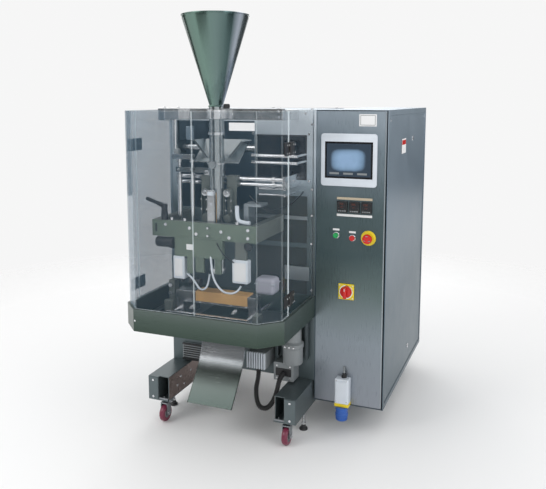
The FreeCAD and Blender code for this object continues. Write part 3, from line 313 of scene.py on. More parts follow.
def make_finishes(colours):
    """Every finish of the machine, by its plain name."""
    steel = tuple(colours.steel)
    green = tuple(colours.green)
    FINISH.update({"steel": sheet_steel("brushed_steel", steel),
        "steel_flat": sheet_steel("brushed_steel_level", steel, "X"),
        # front: painted reflection, lighter at top and bottom and dark through the middle
        "front": sheet_steel("cabinet_front_steel", steel, "Z", 0.30, 0.55, (0.118, 1.36, [(0.0, (0.30,
        0.325, 0.37)), (0.22, (0.26, 0.30, 0.34)), (0.40, (0.12, 0.165, 0.165)), (0.52, (0.060, 0.095,
        0.102)), (0.66, (0.085, 0.125, 0.135)), (0.88, (0.25, 0.31, 0.36)), (1.0, (0.40, 0.47, 0.54))])),
        # side: painted reflection, darker and bluer low, lighter towards the top
        "side": sheet_steel("cabinet_side_steel", (0.16, 0.21, 0.27), "Z", 0.36, 0.5, (0.118, 1.36, [(0.0,
        (0.10, 0.14, 0.17)), (0.35, (0.07, 0.115, 0.15)), (0.75, (0.20, 0.265, 0.335)), (1.0, (0.38, 0.46,
        # panel: painted light, dark low on the film bay and bright towards the top
        0.54))])), "panel": sheet_steel("film_bay_steel", steel, "Z", 0.36, 0.35, (0.576, 1.36, [(0.0,
        (0.10, 0.13, 0.14)), (0.45, (0.13, 0.17, 0.18)), (0.62, (0.44, 0.52, 0.58)), (1.0, (0.74, 0.80,
        # tray: painted shade and reflection, dark green-grey and darker towards the bottom
        0.86))])), "tray": sheet_steel("tray_steel", steel, "X", 0.30, 0.55, (0.486, 0.576, [(0.0, (0.040,
        0.066, 0.052)), (0.55, (0.062, 0.092, 0.078)), (1.0, (0.10, 0.13, 0.12))])),
        "foot": sheet_steel("foot_steel", (0.13, 0.16, 0.17), "Y", 0.33, 0.6),
        "dark_steel": sheet_steel("inner_steel", (0.085, 0.105, 0.115), "Z", 0.40, 0.6),
        "funnel": funnel_steel(), "bright": bright_metal("bright_metal"),
        "polished": bright_metal("polished_metal", (0.82, 0.83, 0.85), 0.10), "green": paint("green_paint",
        green), "grey_paint": paint("grey_paint", (0.23, 0.25, 0.26)),
        "acrylic": clear_sheet("clear_acrylic", tuple(colours.acrylic), 0.08),
        # painted reflection: the left sheets are a more opaque, bluer copy of the clear acrylic
        "acrylic_side_reflection": clear_sheet("acrylic_painted_reflection", (0.17, 0.26, 0.34), 0.44),
        # painted highlight: a pale sheet on the narrow edges of the acrylic
        "acrylic_edge_highlight": clear_sheet("acrylic_edge_highlight", (0.80, 0.88, 0.92), 0.55),
        "black": plastic("black_plastic", (0.018, 0.019, 0.021), 0.42),
        "black_gloss": plastic("black_gloss", (0.012, 0.013, 0.016), 0.16),
        "white": plastic("white_plastic", (0.66, 0.71, 0.77), 0.34), "lilac": plastic("heater_cover",
        (0.66, 0.66, 0.76), 0.36), "label": plastic("label_film", (0.80, 0.80, 0.80), 0.5),
        "tan_label": plastic("tan_label", (0.52, 0.44, 0.32), 0.5), "rubber": plastic("rubber", (0.022,
        0.022, 0.023), 0.62, 180.0, 0.2), "wheel": plastic("cast_tread", tuple(colours.wheel), 0.30),
        "red": plastic("red_plastic", (0.60, 0.015, 0.012), 0.26), "green_button": plastic("green_plastic",
        (0.015, 0.38, 0.10), 0.26), "yellow": plastic("yellow_plastic", (0.80, 0.62, 0.02), 0.34),
        "blue": plastic("blue_plastic", (0.02, 0.10, 0.40), 0.34), "tape": woven_tape("jaw_tape",
        tuple(colours.tape)), "screen": lit_screen(), "digits": glowing("dim_digits", (0.11, 0.03, 0.02),
        0.12), "tube": bright_metal("tube_metal", (0.42, 0.45, 0.46), 0.12),
        # chute: painted highlight at the bend and painted shade on the lower flap, by height
        "fork": bright_metal("fork_metal", (0.30, 0.32, 0.34), 0.26), "chute": sheet_steel("chute_steel",
        steel, "X", 0.24, 0.8, (0.165, 0.49, [(0.0, (0.045, 0.06, 0.055)), (0.34, (0.085, 0.10, 0.095)),
        (0.47, (0.40, 0.42, 0.44)), (0.56, (0.72, 0.74, 0.78)), (0.64, (0.40, 0.42, 0.45)), (1.0, (0.13,
        # the foot walls' brown tone is painted reflection
        0.14, 0.14))])), "brown_reflection_steel": bright_metal("foot_wall_reflection", (0.34, 0.27, 0.25), 0.22),
        # painted shade: dark grey for the sheets that stand for hollows on the film box
        "painted_shade": paint("painted_shade_grey", (0.045, 0.052, 0.050), 0.5), "casting": paint("casting_grey", (0.13,
        0.145, 0.13), 0.45),})


# ---------------------------------------------------------------- modelling helpers
def clear_selection():
    """Nothing stays selected, so that an operator acts on its own piece only."""
    if bpy.context.object and bpy.context.object.mode != "OBJECT":
        bpy.ops.object.mode_set(mode="OBJECT")
    bpy.ops.object.select_all(action="DESELECT")


def only(item):
    """Selects one object and makes it active."""
    clear_selection()
    item.select_set(True)
    bpy.context.view_layer.objects.active = item
    return item


def settle(item):
    """Puts an object's place, turn and scale into its mesh."""
    only(item)
    bpy.ops.object.transform_apply(location=True, rotation=True, scale=True)
    return item


def modify(item, kind, **settings):
    """Adds a modifier and applies it."""
    only(item)
    modifier = item.modifiers.new(kind.lower(), kind)
    for key, value in settings.items():
        setattr(modifier, key, value)
    bpy.ops.object.modifier_apply(modifier=modifier.name)
    return item


def soften(item, width, segments=2, angle=30):
    """Rounds the sharp edges and smooths the rest."""
    modify(item, "BEVEL", width=width, segments=segments, limit_method="ANGLE",
        angle_limit=math.radians(angle), use_clamp_overlap=True)
    only(item)
    bpy.ops.object.shade_smooth_by_angle(angle=math.radians(35))
    modify(item, "WEIGHTED_NORMAL", keep_sharp=True, weight=100)
    return item


def box(low, high, rounding=0.0, segments=2):
    """A block between two corners with rounded edges."""
    low = Vector(low)
    high = Vector(high)
    clear_selection()
    bpy.ops.mesh.primitive_cube_add(size=1, location=(low + high) / 2)
    item = bpy.context.object
    item.scale = high - low
    settle(item)
    if rounding:
        soften(item, rounding, segments)
    return item


AXES = {"X": (0, math.pi / 2, 0), "Y": (-math.pi / 2, 0, 0), "Z": (0, 0, 0)}


def cylinder(centre, radius, length, axis="Z", rounding=0.0, sides=40, top=None):
    """A round bar, or a cone when top is given, centred on a point."""
    clear_selection()
    bpy.ops.mesh.primitive_cone_add(vertices=sides, radius1=radius, radius2=radius if top is None else top,
        depth=length, location=centre, rotation=AXES[axis])
    item = settle(bpy.context.object)
    if rounding:
        soften(item, rounding, 2, 40)
    else:
        bpy.ops.object.shade_smooth_by_angle(angle=math.radians(40))
    return item


def outline_of(points):
    """A closed loop of edges through points of space, made from a circle with one vertex for each."""
    clear_selection()
    bpy.ops.mesh.primitive_circle_add(vertices=len(points), radius=1, fill_type="NOTHING")
    item = bpy.context.object
    for vertex, point in zip(item.data.vertices, points):
        vertex.co = point
    return item


def lathe(profile, centre, axis="Z", sides=64):
    """A closed outline of radius and height spun about an axis."""
    item = outline_of([(radius, 0, height) for radius, height in profile])
    only(item)
    bpy.ops.object.mode_set(mode="EDIT")
    bpy.ops.mesh.select_all(action="SELECT")
    bpy.ops.mesh.spin(steps=sides, angle=math.tau, center=(0, 0, 0), axis=(0, 0, 1))
    bpy.ops.mesh.select_all(action="SELECT")
    bpy.ops.mesh.remove_doubles(threshold=1e-6)
    bpy.ops.mesh.normals_make_consistent(inside=False)
    bpy.ops.object.mode_set(mode="OBJECT")
    item.rotation_euler = AXES[axis]
    item.location = centre
    settle(item)
    bpy.ops.object.shade_smooth_by_angle(angle=math.radians(35))
    return item


def outward(item):
    """Merges doubles and points every face outwards."""
    only(item)
    bpy.ops.object.mode_set(mode="EDIT")
    bpy.ops.mesh.select_all(action="SELECT")
    bpy.ops.mesh.remove_doubles(threshold=1e-6)
    bpy.ops.mesh.normals_make_consistent(inside=False)
    bpy.ops.object.mode_set(mode="OBJECT")
    return item


def prism(outline, start, length, axis="Y", rounding=0.0, segments=2):
    """A flat outline extruded along an axis; its points are the other two coordinates in order."""
    place = {"X": lambda across, up: (start, across, up), "Y": lambda across, up: (across, start, up),
        "Z": lambda across, up: (across, up, start),}[axis]
    along = {"X": (length, 0, 0), "Y": (0, length, 0), "Z": (0, 0, length)}[axis]
    item = outline_of([place(across, up) for across, up in outline])
    only(item)
    bpy.ops.object.mode_set(mode="EDIT")
    bpy.ops.mesh.select_all(action="SELECT")
    bpy.ops.mesh.edge_face_add()
    bpy.ops.mesh.extrude_region_move(TRANSFORM_OT_translate={"value": along})
    bpy.ops.object.mode_set(mode="OBJECT")
    outward(item)
    if rounding:
        soften(item, rounding, segments, 20)
    return item


def pipe(points, radius, order=3, closed_ends=True, resolution=8):
    """A round tube along a smooth line through space."""
    curve = bpy.data.curves.new("pipe", "CURVE")
    curve.dimensions = "3D"
    spline = curve.splines.new("NURBS")
    spline.points.add(len(points) - 1)
    for target, point in zip(spline.points, points):
        target.co = (*point, 1)
    spline.order_u = order
    spline.use_endpoint_u = True
    spline.resolution_u = resolution
    curve.bevel_depth = radius
    curve.bevel_resolution = 5
    curve.use_fill_caps = closed_ends
    item = bpy.data.objects.new("pipe", curve)
    bpy.context.collection.objects.link(item)
    only(item)
    bpy.ops.object.convert(target="MESH")
    outward(bpy.context.object)
    bpy.ops.object.shade_smooth_by_angle(angle=math.radians(50))
    return bpy.context.object


def spring(start, end, radius, wire, turns):
    """A compression spring between two points."""
    start = Vector(start)
    end = Vector(end)
    along = (end - start).normalized()
    side = along.orthogonal().normalized()
    other = along.cross(side)
    steps = turns * 12
    points = []
    for index in range(steps + 1):
        angle = math.tau * index / 12
        offset = side * math.cos(angle) * radius + other * math.sin(angle) * radius
        points.append(start + (end - start) * index / steps + offset)
    return pipe(points, wire, resolution=2)


def carve(item, tool):
    """Cuts one shape out of another."""
    modify(item, "BOOLEAN", object=tool, operation="DIFFERENCE", solver="EXACT")
    bpy.data.objects.remove(tool)
    return item


def paint_part(item, finish):
    """Gives a shape its finish."""
    if finish:
        item.data.materials.clear()
        item.data.materials.append(FINISH[finish])
    return item


def piece(name, body, slot, *parts, stands_for=()):
    """Joins shapes, each with its finish, into one named piece that rides on a body."""
    shapes = []
    for shape, finish in parts:
        for item in (shape if isinstance(shape, (list, tuple)) else [shape]):
            shapes.append(paint_part(item, finish))
    clear_selection()
    for shape in shapes:
        shape.select_set(True)
    bpy.context.view_layer.objects.active = shapes[0]
    if len(shapes) > 1:
        bpy.ops.object.join()
    item = bpy.context.object
    item.name = name
    item.data.name = name
    settle(item)
    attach(item, body)
    if stands_for:
        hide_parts(*stands_for)
    return item


def copies(item, places):
    """The shape and its copies, each moved by an offset and with its own mesh."""
    made = []
    for offset in places:
        twin = item.copy()
        twin.data = item.data.copy()
        bpy.context.collection.objects.link(twin)
        twin.location = Vector(offset)
        made.append(settle(twin))
    bpy.data.objects.remove(item)
    return made


def screw_head(centre, axis="Y", radius=None, proud=0.003):
    """A socket screw head with its round stepped recess; its top looks along the axis, minus for Y."""
    radius = radius or bpy.context.scene.sealer_sizes.screw
    base = Vector(centre)
    profile = [(0, 0), (radius, 0), (radius, proud * 0.75), (radius * 0.85, proud), (radius * 0.5, proud),
        (radius * 0.45, proud * 0.45), (0, proud * 0.45)]
    head = lathe(profile, (0, 0, 0), "Z", 18)
    turn = {"Y": (math.pi / 2, 0, 0), "X": (0, math.pi / 2, 0), "-X": (0, -math.pi / 2, 0), "Z": (0, 0, 0),
        "+Y": (-math.pi / 2, 0, 0), "-Z": (math.pi, 0, 0)}[axis]
    head.rotation_euler = turn
    head.location = base
    return settle(head)


def screws(places, axis="Y", radius=None, proud=0.003):
    """Screw heads at several places."""
    first = screw_head((0, 0, 0), axis, radius, proud)
    return copies(first, places)


def dress(finish, *nodes):
    """CAD nodes keep their shape and get a finish."""
    for node in nodes:
        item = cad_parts[node]
        if not item.data.materials:
            item.data.materials.append(FINISH[finish])
        for index in range(len(item.data.materials)):
            item.data.materials[index] = FINISH[finish]


def refined(node, rounding=0.0, angle=30):
    """A copy of a CAD node with its points merged, its flat faces joined and its edges rounded."""
    item = bpy.data.objects.new(node + "_shape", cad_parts[node].data.copy())
    bpy.context.collection.objects.link(item)
    only(item)
    bpy.ops.object.mode_set(mode="EDIT")
    bpy.ops.mesh.select_all(action="SELECT")
    bpy.ops.mesh.remove_doubles(threshold=1e-5)
    bpy.ops.mesh.dissolve_limited(angle_limit=math.radians(0.5))
    bpy.ops.object.mode_set(mode="OBJECT")
    if rounding:
        soften(item, rounding, 2, angle)
    else:
        bpy.ops.object.shade_smooth_by_angle(angle=math.radians(30))
    return item


def corners(*nodes):
    """Lowest and highest corner of one or more CAD nodes."""
    boxes = [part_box(node) for node in nodes]
    low = [min(box[0][axis] for box in boxes) for axis in range(3)]
    high = [max(box[1][axis] for box in boxes) for axis in range(3)]
    return Vector(low), Vector(high)


# ---------------------------------------------------------------- stage
TUBE_X = -0.150
TUBE_Y = -0.440
CAMERA_PLACE = (1.0649, -2.8696, 1.4004)
CAMERA_TILT = 7.586
CAMERA_TURN = 21.818
CAMERA_LENS = 44.692
CAMERA_SHIFT = -0.10


def soft_light(name, place, aim, size, power, tint=(1, 1, 1)):
    """A square area light aimed at a point."""
    clear_selection()
    bpy.ops.object.light_add(type="AREA", location=place)
    lamp = bpy.context.object
    lamp.name = name
    lamp.rotation_euler = (Vector(aim) - Vector(place)).to_track_quat("-Z", "Y").to_euler()
    lamp.data.size = size
    lamp.data.energy = power
    lamp.data.color = tint


def dark_cards():
    """Dark cards round the studio that only reflections see, which give the steel its contrast."""
    graph = Graph("card")
    cloth = graph.noise(4, 2)
    finish = graph.surface(Base_Color=graph.mix(cloth, (0.03, 0.035, 0.035), (0.06, 0.065, 0.065)),
        Roughness=0.9 + cloth * 0.05)
    cards = []
    for turn, width in ((-22, 3.6), (75, 2.2), (158, 4.2), (-105, 2.6)):
        angle = math.radians(turn)
        clear_selection()
        bpy.ops.mesh.primitive_plane_add(size=1, location=(5.2 * math.sin(angle), -5.2 * math.cos(angle),
            1.9), rotation=(math.pi / 2, 0, angle))
        card = bpy.context.object
        card.scale = (width, 3.2, 1)
        cards.append(card)
    for index, card in enumerate(cards):
        settle(card)
        card.name = f"dark_card_{index}"
        card.data.materials.append(finish)
        card.visible_camera = False
        card.visible_diffuse = False
        card.visible_transmission = False
        card.visible_shadow = False


class SEALER_OT_stage(bpy.types.Operator):
    """Floor, soft studio light, camera and the finishes that the pieces share"""
    bl_idname = "sealer.stage"
    bl_label = "Stage"

    def execute(self, context):
        scene = context.scene
        make_finishes(scene.sealer_colours)
        clear_selection()
        bpy.ops.mesh.primitive_circle_add(vertices=96, radius=40, fill_type="NGON", location=(0, 0, 0))
        floor = context.object
        floor.name = "studio_floor"
        graph = Graph("studio_floor")
        cloudy = graph.noise(0.6, 2)
        pale = tuple(scene.sealer_colours.floor)
        floor.data.materials.append(graph.surface(Base_Color=graph.mix(cloudy, shade(pale, 0.99),
            shade(pale, 1.01)), Roughness=0.75 + cloudy * 0.05,
            Alpha=1.9 - (graph.axis("X") * graph.axis("X") + graph.axis("Y") * graph.axis("Y")) * 0.16))
        world = bpy.data.worlds.new("studio")
        world.use_nodes = True
        world.node_tree.nodes["Background"].inputs["Color"].default_value = (0.923, 0.923, 0.923, 1)
        world.node_tree.nodes["Background"].inputs["Strength"].default_value = 1.0
        scene.world = world
        soft_light("key", (-2.6, -3.6, 3.4), (0, -0.3, 0.8), 2.2, 55)
        soft_light("fill", (3.4, -1.6, 2.4), (0.4, 0, 0.8), 2.0, 22, (0.94, 0.97, 1.0))
        soft_light("back", (-1.2, 3.4, 3.2), (0, 0, 1.0), 2.4, 35)
        dark_cards()
        clear_selection()
        bpy.ops.object.camera_add(location=CAMERA_PLACE, rotation=(math.radians(90 - CAMERA_TILT), 0,
            math.radians(CAMERA_TURN)))
        camera = context.object
        camera.data.sensor_width = 36
        camera.data.lens = CAMERA_LENS
        camera.data.shift_y = CAMERA_SHIFT
        camera.data.clip_end = 100
        scene.camera = camera
        scene.view_settings.view_transform = "Standard"
        return {"FINISHED"}


# ---------------------------------------------------------------- base
SIDES = ("left", "right")
ROWS = ("front", "rear")


class SEALER_OT_feet(bpy.types.Operator):
    """Two folded channel feet with end plates, stiffening gussets and bolts"""
    bl_idname = "sealer.feet"
    bl_label = "Feet"

    def execute(self, context):
        for side in SIDES:
            node = side + "_foot"
            low, high = corners(node)
            width = 0.05
            outer = low.x if side == "left" else high.x - width
            inner = low.x + width if side == "left" else low.x
            shelf = inner + 0.02
            end_plate = box((outer + 0.0015, low.y - 0.0025, low.z + 0.002), (outer + width - 0.0015,
                low.y, high.z - 0.002), 0.0015)
            bolts = screws([(outer + width / 2, low.y - 0.0025, low.z + height) for height in (0.016,
                0.09)], "Y", 0.005)
            flanges = []
            for y in (-0.30, 0.05, 0.42):
                flanges.append(prism([(y, low.z + 0.004), (y + 0.004, low.z + 0.004), (y + 0.004,
                    low.z + 0.05), (y, low.z + 0.05)], inner + 0.002, 0.04, "X", 0.0008))
            lip = box((inner + 0.001, low.y + 0.002, low.z + 0.004), (inner + 0.044, low.y + 0.004,
                low.z + 0.012))
            # the inner wall's brown steel is painted reflection
            wall_x = low.x + 0.095 if side == "left" else low.x
            outward_x = 0.0015 if side == "left" else -0.0015
            wall = box((min(wall_x, wall_x + outward_x), low.y + 0.013, low.z + 0.004), (max(wall_x,
                wall_x + outward_x), 0.10, high.z - 0.002), 0.0006)
            wall_bolts = screws([(wall_x + outward_x, y, low.z + up) for y, up in ((-0.36, 0.045), (-0.33,
                0.075), (-0.30, 0.03), (-0.24, 0.07), (-0.18, 0.05))], "X" if side == "left" else "-X",
                0.006)
            side_bolts = screws([(shelf + 0.008 * turn, low.y + 0.025, low.z + 0.004) for turn in (-1, 2)],
                "Z", 0.005)
            piece(node + "_detail", "machine", "steel", (refined(node, 0.001), "foot"), (end_plate,
                "foot"), (bolts + side_bolts + wall_bolts, "polished"), (flanges, "foot"), (lip, "fork"),
                (wall, "brown_reflection_steel"), stands_for=[node])
        return {"FINISHED"}


def caster(side, row):
    """A caster: swivel plate with bolts, raceway, fork with an axle nut, and a crowned wheel."""
    name = f"{row}_{side}"
    fork_node = "caster_fork_" + name
    wheel_node = "caster_wheel_" + name
    low, high = corners(wheel_node)
    centre = (low + high) / 2
    fork_low, fork_high = corners(fork_node)
    pivot = Vector((centre.x, fork_high.y - 0.022, fork_high.z))
    race = lathe([(0.006, -0.020), (0.019, -0.020), (0.0205, -0.016), (0.017, -0.013), (0.0205, -0.010),
        (0.0195, -0.006), (0.006, -0.006)], pivot, "Z", 40)
    bolts = screws([(pivot.x + across * 0.015, pivot.y + along * 0.015,
        pivot.z - 0.0085) for across in (-1, 1) for along in (-1, 1)], "-Z", 0.0032)
    nuts = [cylinder((fork_x, centre.y, centre.z), 0.0075, 0.004, "X", 0.0008,
        6) for fork_x in (fork_low.x + 0.0035, fork_high.x - 0.0035)]
    piece("caster_" + name, "caster_" + name, "bright_steel", (refined(fork_node, 0.0012), "fork"), (race,
        "polished"), (bolts + nuts, "polished"), stands_for=[fork_node])
    radius = (high.z - low.z) / 2
    half = (high.x - low.x) / 2
    tread = lathe([(0.022, -half), (radius - 0.005, -half), (radius - 0.0015, -half + 0.003), (radius,
        -0.004), (radius, 0.004), (radius - 0.0015, half - 0.003), (radius - 0.005, half), (0.022, half)],
        centre, "X", 56)
    hub = lathe([(0.0045, -half + 0.001), (0.009, -half + 0.001), (0.0105, -half + 0.004), (0.0205,
        -half + 0.005), (0.0219, -half + 0.001), (0.0219, half - 0.001), (0.0205, half - 0.005), (0.0105,
        half - 0.004), (0.009, half - 0.001), (0.0045, half - 0.001)], centre, "X", 48)
    piece("wheel_" + name, "wheel_" + name, "wheel_red", (tread, "wheel"), (hub, "grey_paint"),
        stands_for=[wheel_node])


def levelling_foot(side, row):
    """A levelling foot: threaded rod, two lock nuts and a stepped pad."""
    name = f"{row}_{side}"
    node = "levelling_foot_" + name
    low, high = corners(node)
    centre = (low + high) / 2
    pad = 0.018
    thread = [(0.001, 0.018)]
    height = 0.018
    while height < high.z - 0.003:
        thread += [(0.0060, height), (0.0050, height + 0.001)]
        height += 0.002
    thread += [(0.0050, high.z), (0.001, high.z)]
    rod = lathe(thread, (centre.x, centre.y, 0), "Z", 20)
    base = lathe([(0, 0), (pad, 0), (pad, 0.006), (pad - 0.002, 0.009), (pad - 0.007, 0.012), (0.009,
        0.020), (0.007, 0.022), (0, 0.022)], (centre.x, centre.y, 0), "Z", 40)
    nuts = [cylinder((centre.x, centre.y, z), 0.0098, 0.007, "Z", 0.0008, 6) for z in (0.027, 0.092)]
    piece("leveller_" + name, "leveller_" + name, "black_plastic", (rod, "bright"), (base, "black"), (nuts,
        "bright"), stands_for=[node])


class SEALER_OT_casters(bpy.types.Operator):
    """Four swivel casters"""
    bl_idname = "sealer.casters"
    bl_label = "Casters"

    def execute(self, context):
        for side in SIDES:
            for row in ROWS:
                caster(side, row)
        return {"FINISHED"}


class SEALER_OT_levelling_feet(bpy.types.Operator):
    """Four levelling feet"""
    bl_idname = "sealer.levelling_feet"
    bl_label = "Levelling feet"

    def execute(self, context):
        for side in SIDES:
            for row in ROWS:
                levelling_foot(side, row)
        return {"FINISHED"}


# ---------------------------------------------------------------- film box
class SEALER_OT_film_box(bpy.types.Operator):
    """Frame, skins and guide roller of the film box"""
    bl_idname = "sealer.film_box"
    bl_label = "Film box"

    def execute(self, context):
        dress("dark_steel", "body_frame")
        low, high = corners("body_front_panel")
        rim = []
        face = low.y
        window = (-0.067, 0.147, 1.076, 1.247)
        left, right, bottom, top = window
        for x_low, x_high, z_low, z_high in ((left - 0.008, right + 0.008, top, top + 0.008),
                (left - 0.008, right + 0.008, bottom - 0.008, bottom), (left - 0.008, left, bottom, top),
                (right, right + 0.008, bottom, top)):
            rim.append(box((x_low, face - 0.002, z_low), (x_high, face, z_high), 0.0008))
        bolts = screws([(x, face, z) for x in (left - 0.02, right + 0.018) for z in (bottom - 0.012,
            top + 0.012)] + [(-0.475, face, z) for z in (0.62, 0.88, 1.14, 1.33)] + [(0.178, face,
            z) for z in (0.60, 0.80, 0.92, 1.03, 1.30)] + [(x, face, 1.345) for x in (-0.44, -0.30, 0.0,
            0.15)], "Y", 0.005)
        # dark sheets flush on the panel: painted shade standing for hollows
        shade_sheets = [box((-0.070, face - 0.0015, 0.800), (0.158, face, 1.000), 0.0005), box((-0.070,
            face - 0.0015, 0.580), (0.158, face, 0.780), 0.0005)]
        tie_plate = box((-0.405, face - 0.012, 1.225), (-0.368, face, 1.285), 0.002)
        stiffeners = [box((-0.452, face - 0.006, 0.64), (-0.438, face, 0.90), 0.001), box((0.06,
            face - 0.008, 0.64), (0.17, face, 0.70), 0.0015), box((-0.07, face - 0.005, 0.90), (0.16, face,
            0.915), 0.001)]
        piece("film_box_front", "machine", "steel", (refined("body_front_panel", 0.0008), "panel"), (rim,
            "black"), (bolts, "bright"), (stiffeners, "steel"), (shade_sheets, "painted_shade"), (tie_plate,
            "side"), stands_for=["body_front_panel"])
        pane = box((left, face + 0.0004, bottom), (right, face + 0.0024, top), 0.0006)
        piece("film_box_window", "machine", "acrylic", (pane, "black_gloss"))
        cover_low, cover_high = corners("body_covers")
        lid_bolts = screws([(x, y, cover_high.z) for x in (cover_low.x + 0.03, -0.15,
            0.165) for y in (-0.185, cover_high.y - 0.03)], "Z", 0.006, 0.004)
        side_bolts = screws([(cover_low.x, y, z) for y in (-0.19, 0.17) for z in (0.23, 0.78, 1.33)], "-X",
            0.005)
        piece("film_box_covers", "machine", "steel", (refined("body_covers", 0.0015), "side"),
            (lid_bolts + side_bolts, "bright"), stands_for=["body_covers"])
        dress("bright", "guide_roller")
        return {"FINISHED"}


# ---------------------------------------------------------------- control cabinet
class SEALER_OT_cabinet(bpy.types.Operator):
    """Cabinet shell, right side panel, locks and the electrics behind the door"""
    bl_idname = "sealer.cabinet"
    bl_label = "Control cabinet"

    def execute(self, context):
        low, high = corners("cabinet_shell")
        seam = [box((low.x + 0.002, -0.205, high.z - 0.001), (high.x - 0.002, -0.203, high.z), 0.0002)]
        label = box((high.x - 0.0001, 0.048, 1.168), (high.x + 0.0006, 0.139, 1.232), 0.0002)
        stripe = box((high.x + 0.0004, 0.052, 1.206), (high.x + 0.001, 0.135, 1.226), 0.0002)
        piece("cabinet_casing", "machine", "steel", (refined("cabinet_shell", 0.0015), "side"), (seam,
            "black"), (label, "label"), (stripe, "red"), stands_for=["cabinet_shell"])
        side_low, side_high = corners("cabinet_side_panel")
        bolts = screws([(side_high.x, y, z) for y in (side_low.y + 0.02,
            side_high.y - 0.02) for z in (side_low.z + 0.02, side_high.z - 0.02)], "X", 0.004, 0.002)
        piece("cabinet_side_cover", "machine", "steel", (refined("cabinet_side_panel", 0.0006), "side"),
            (bolts, "bright"), stands_for=["cabinet_side_panel"])
        for name in ("side_lock_upper", "side_lock_lower"):
            lock_low, lock_high = corners(name)
            centre_z = lock_high.z - 0.011
            centre_y = (lock_low.y + lock_high.y) / 2
            rim = lathe([(0.006, 0), (0.011, 0), (0.0115, 0.001), (0.0095, 0.003), (0.006, 0.003)],
                (lock_high.x - 0.002, centre_y, centre_z), "X", 32)
            wing = box((lock_high.x - 0.0015, centre_y - 0.0012, centre_z - 0.005), (lock_high.x + 0.0008,
                centre_y + 0.0012, centre_z + 0.005), 0.0006)
            piece(name + "_head", name, "bright_steel", (refined(name, 0.0005), "bright"), (rim,
                "polished"), (wing, "black"), stands_for=[name])
        dress("grey_paint", "electrics_plate")
        return {"FINISHED"}


class SEALER_OT_cabinet_door(bpy.types.Operator):
    """Cabinet door with its folded edges and blank rating plate"""
    bl_idname = "sealer.cabinet_door"
    bl_label = "Cabinet door"

    def execute(self, context):
        low, high = corners("cabinet_door")
        plate = box((0.375, low.y - 0.0009, high.z - 0.060), (0.446, low.y, high.z - 0.012), 0.0003)
        border = box((0.380, low.y - 0.0013, high.z - 0.056), (0.441, low.y - 0.0008, high.z - 0.016),
            0.0002)
        field = box((0.382, low.y - 0.0016, high.z - 0.054), (0.439, low.y - 0.0012, high.z - 0.018),
            0.0002)
        fold = [box((high.x - 0.005, low.y - 0.0008, low.z + 0.004), (high.x - 0.001, low.y + 0.001,
            high.z - 0.004), 0.0006)]
        piece("cabinet_door_skin", "cabinet_door", "steel", (refined("cabinet_door", 0.0018), "front"),
            (fold, "steel"), (plate, "label"), (border, "grey_paint"), (field, "label"),
            stands_for=["cabinet_door"])
        return {"FINISHED"}


class SEALER_OT_operator_panel(bpy.types.Operator):
    """Touch panel: moulded bezel, dark surround and a lit screen with plain fields"""
    bl_idname = "sealer.operator_panel"
    bl_label = "Operator panel"

    def execute(self, context):
        low, high = corners("operator_panel")
        border = context.scene.sealer_sizes.bezel
        corner = 0.012
        outline = []
        for x, z, start in ((high.x - corner, high.z - corner, 0), (low.x + corner, high.z - corner, 90),
                (low.x + corner, low.z + corner, 180), (high.x - corner, low.z + corner, 270)):
            for step in range(5):
                angle = math.radians(start + step * 22.5)
                outline.append((x + corner * math.cos(angle), z + corner * math.sin(angle)))
        bezel = prism(outline, low.y - 0.003, high.y - low.y + 0.003, "Y", 0.0025, 3)
        side = border * 0.7
        glass_low = (low.x + side, low.z + border * 1.35)
        glass_high = (high.x - side, high.z - border * 1.35)
        carve(bezel, box((glass_low[0], low.y - 0.01, glass_low[1]), (glass_high[0], low.y - 0.0015,
            glass_high[1])))
        surround = box((glass_low[0], low.y - 0.0018, glass_low[1]), (glass_high[0], low.y, glass_high[1]),
            0.0004)
        margin = 0.008
        screen = box((glass_low[0] + margin, low.y - 0.0021, glass_low[1] + margin),
            (glass_high[0] - margin, low.y - 0.001, glass_high[1] - margin), 0.0002)
        fields = []
        for index in range(3):
            x = glass_low[0] + 0.020 + index * 0.058
            fields.append(box((x, low.y - 0.0023, glass_low[1] + 0.016), (x + 0.040, low.y - 0.002,
                glass_low[1] + 0.024), 0.0002))
        piece("operator_screen", "cabinet_door", "screen", (bezel, "white"), (surround, "black_gloss"),
            (screen, "screen"), (fields, "grey_paint"), stands_for=["operator_panel"])
        return {"FINISHED"}


def seven_segments(x, y, z, tall, digits):
    """A row of plain numerals, each with all seven bars lit."""
    bars = []
    wide = tall * 0.55
    thick = tall * 0.12
    for digit in range(digits):
        left = x + digit * wide * 1.5
        for level in (0, 0.5, 1):
            bars.append(box((left, y - 0.0003, z + tall * level - thick / 2), (left + wide, y,
                z + tall * level + thick / 2)))
        for level in (0.06, 0.56):
            for across in (0, wide):
                bars.append(box((left + across - thick / 2, y - 0.0003, z + tall * level),
                    (left + across + thick / 2, y, z + tall * (level + 0.38))))
    return bars


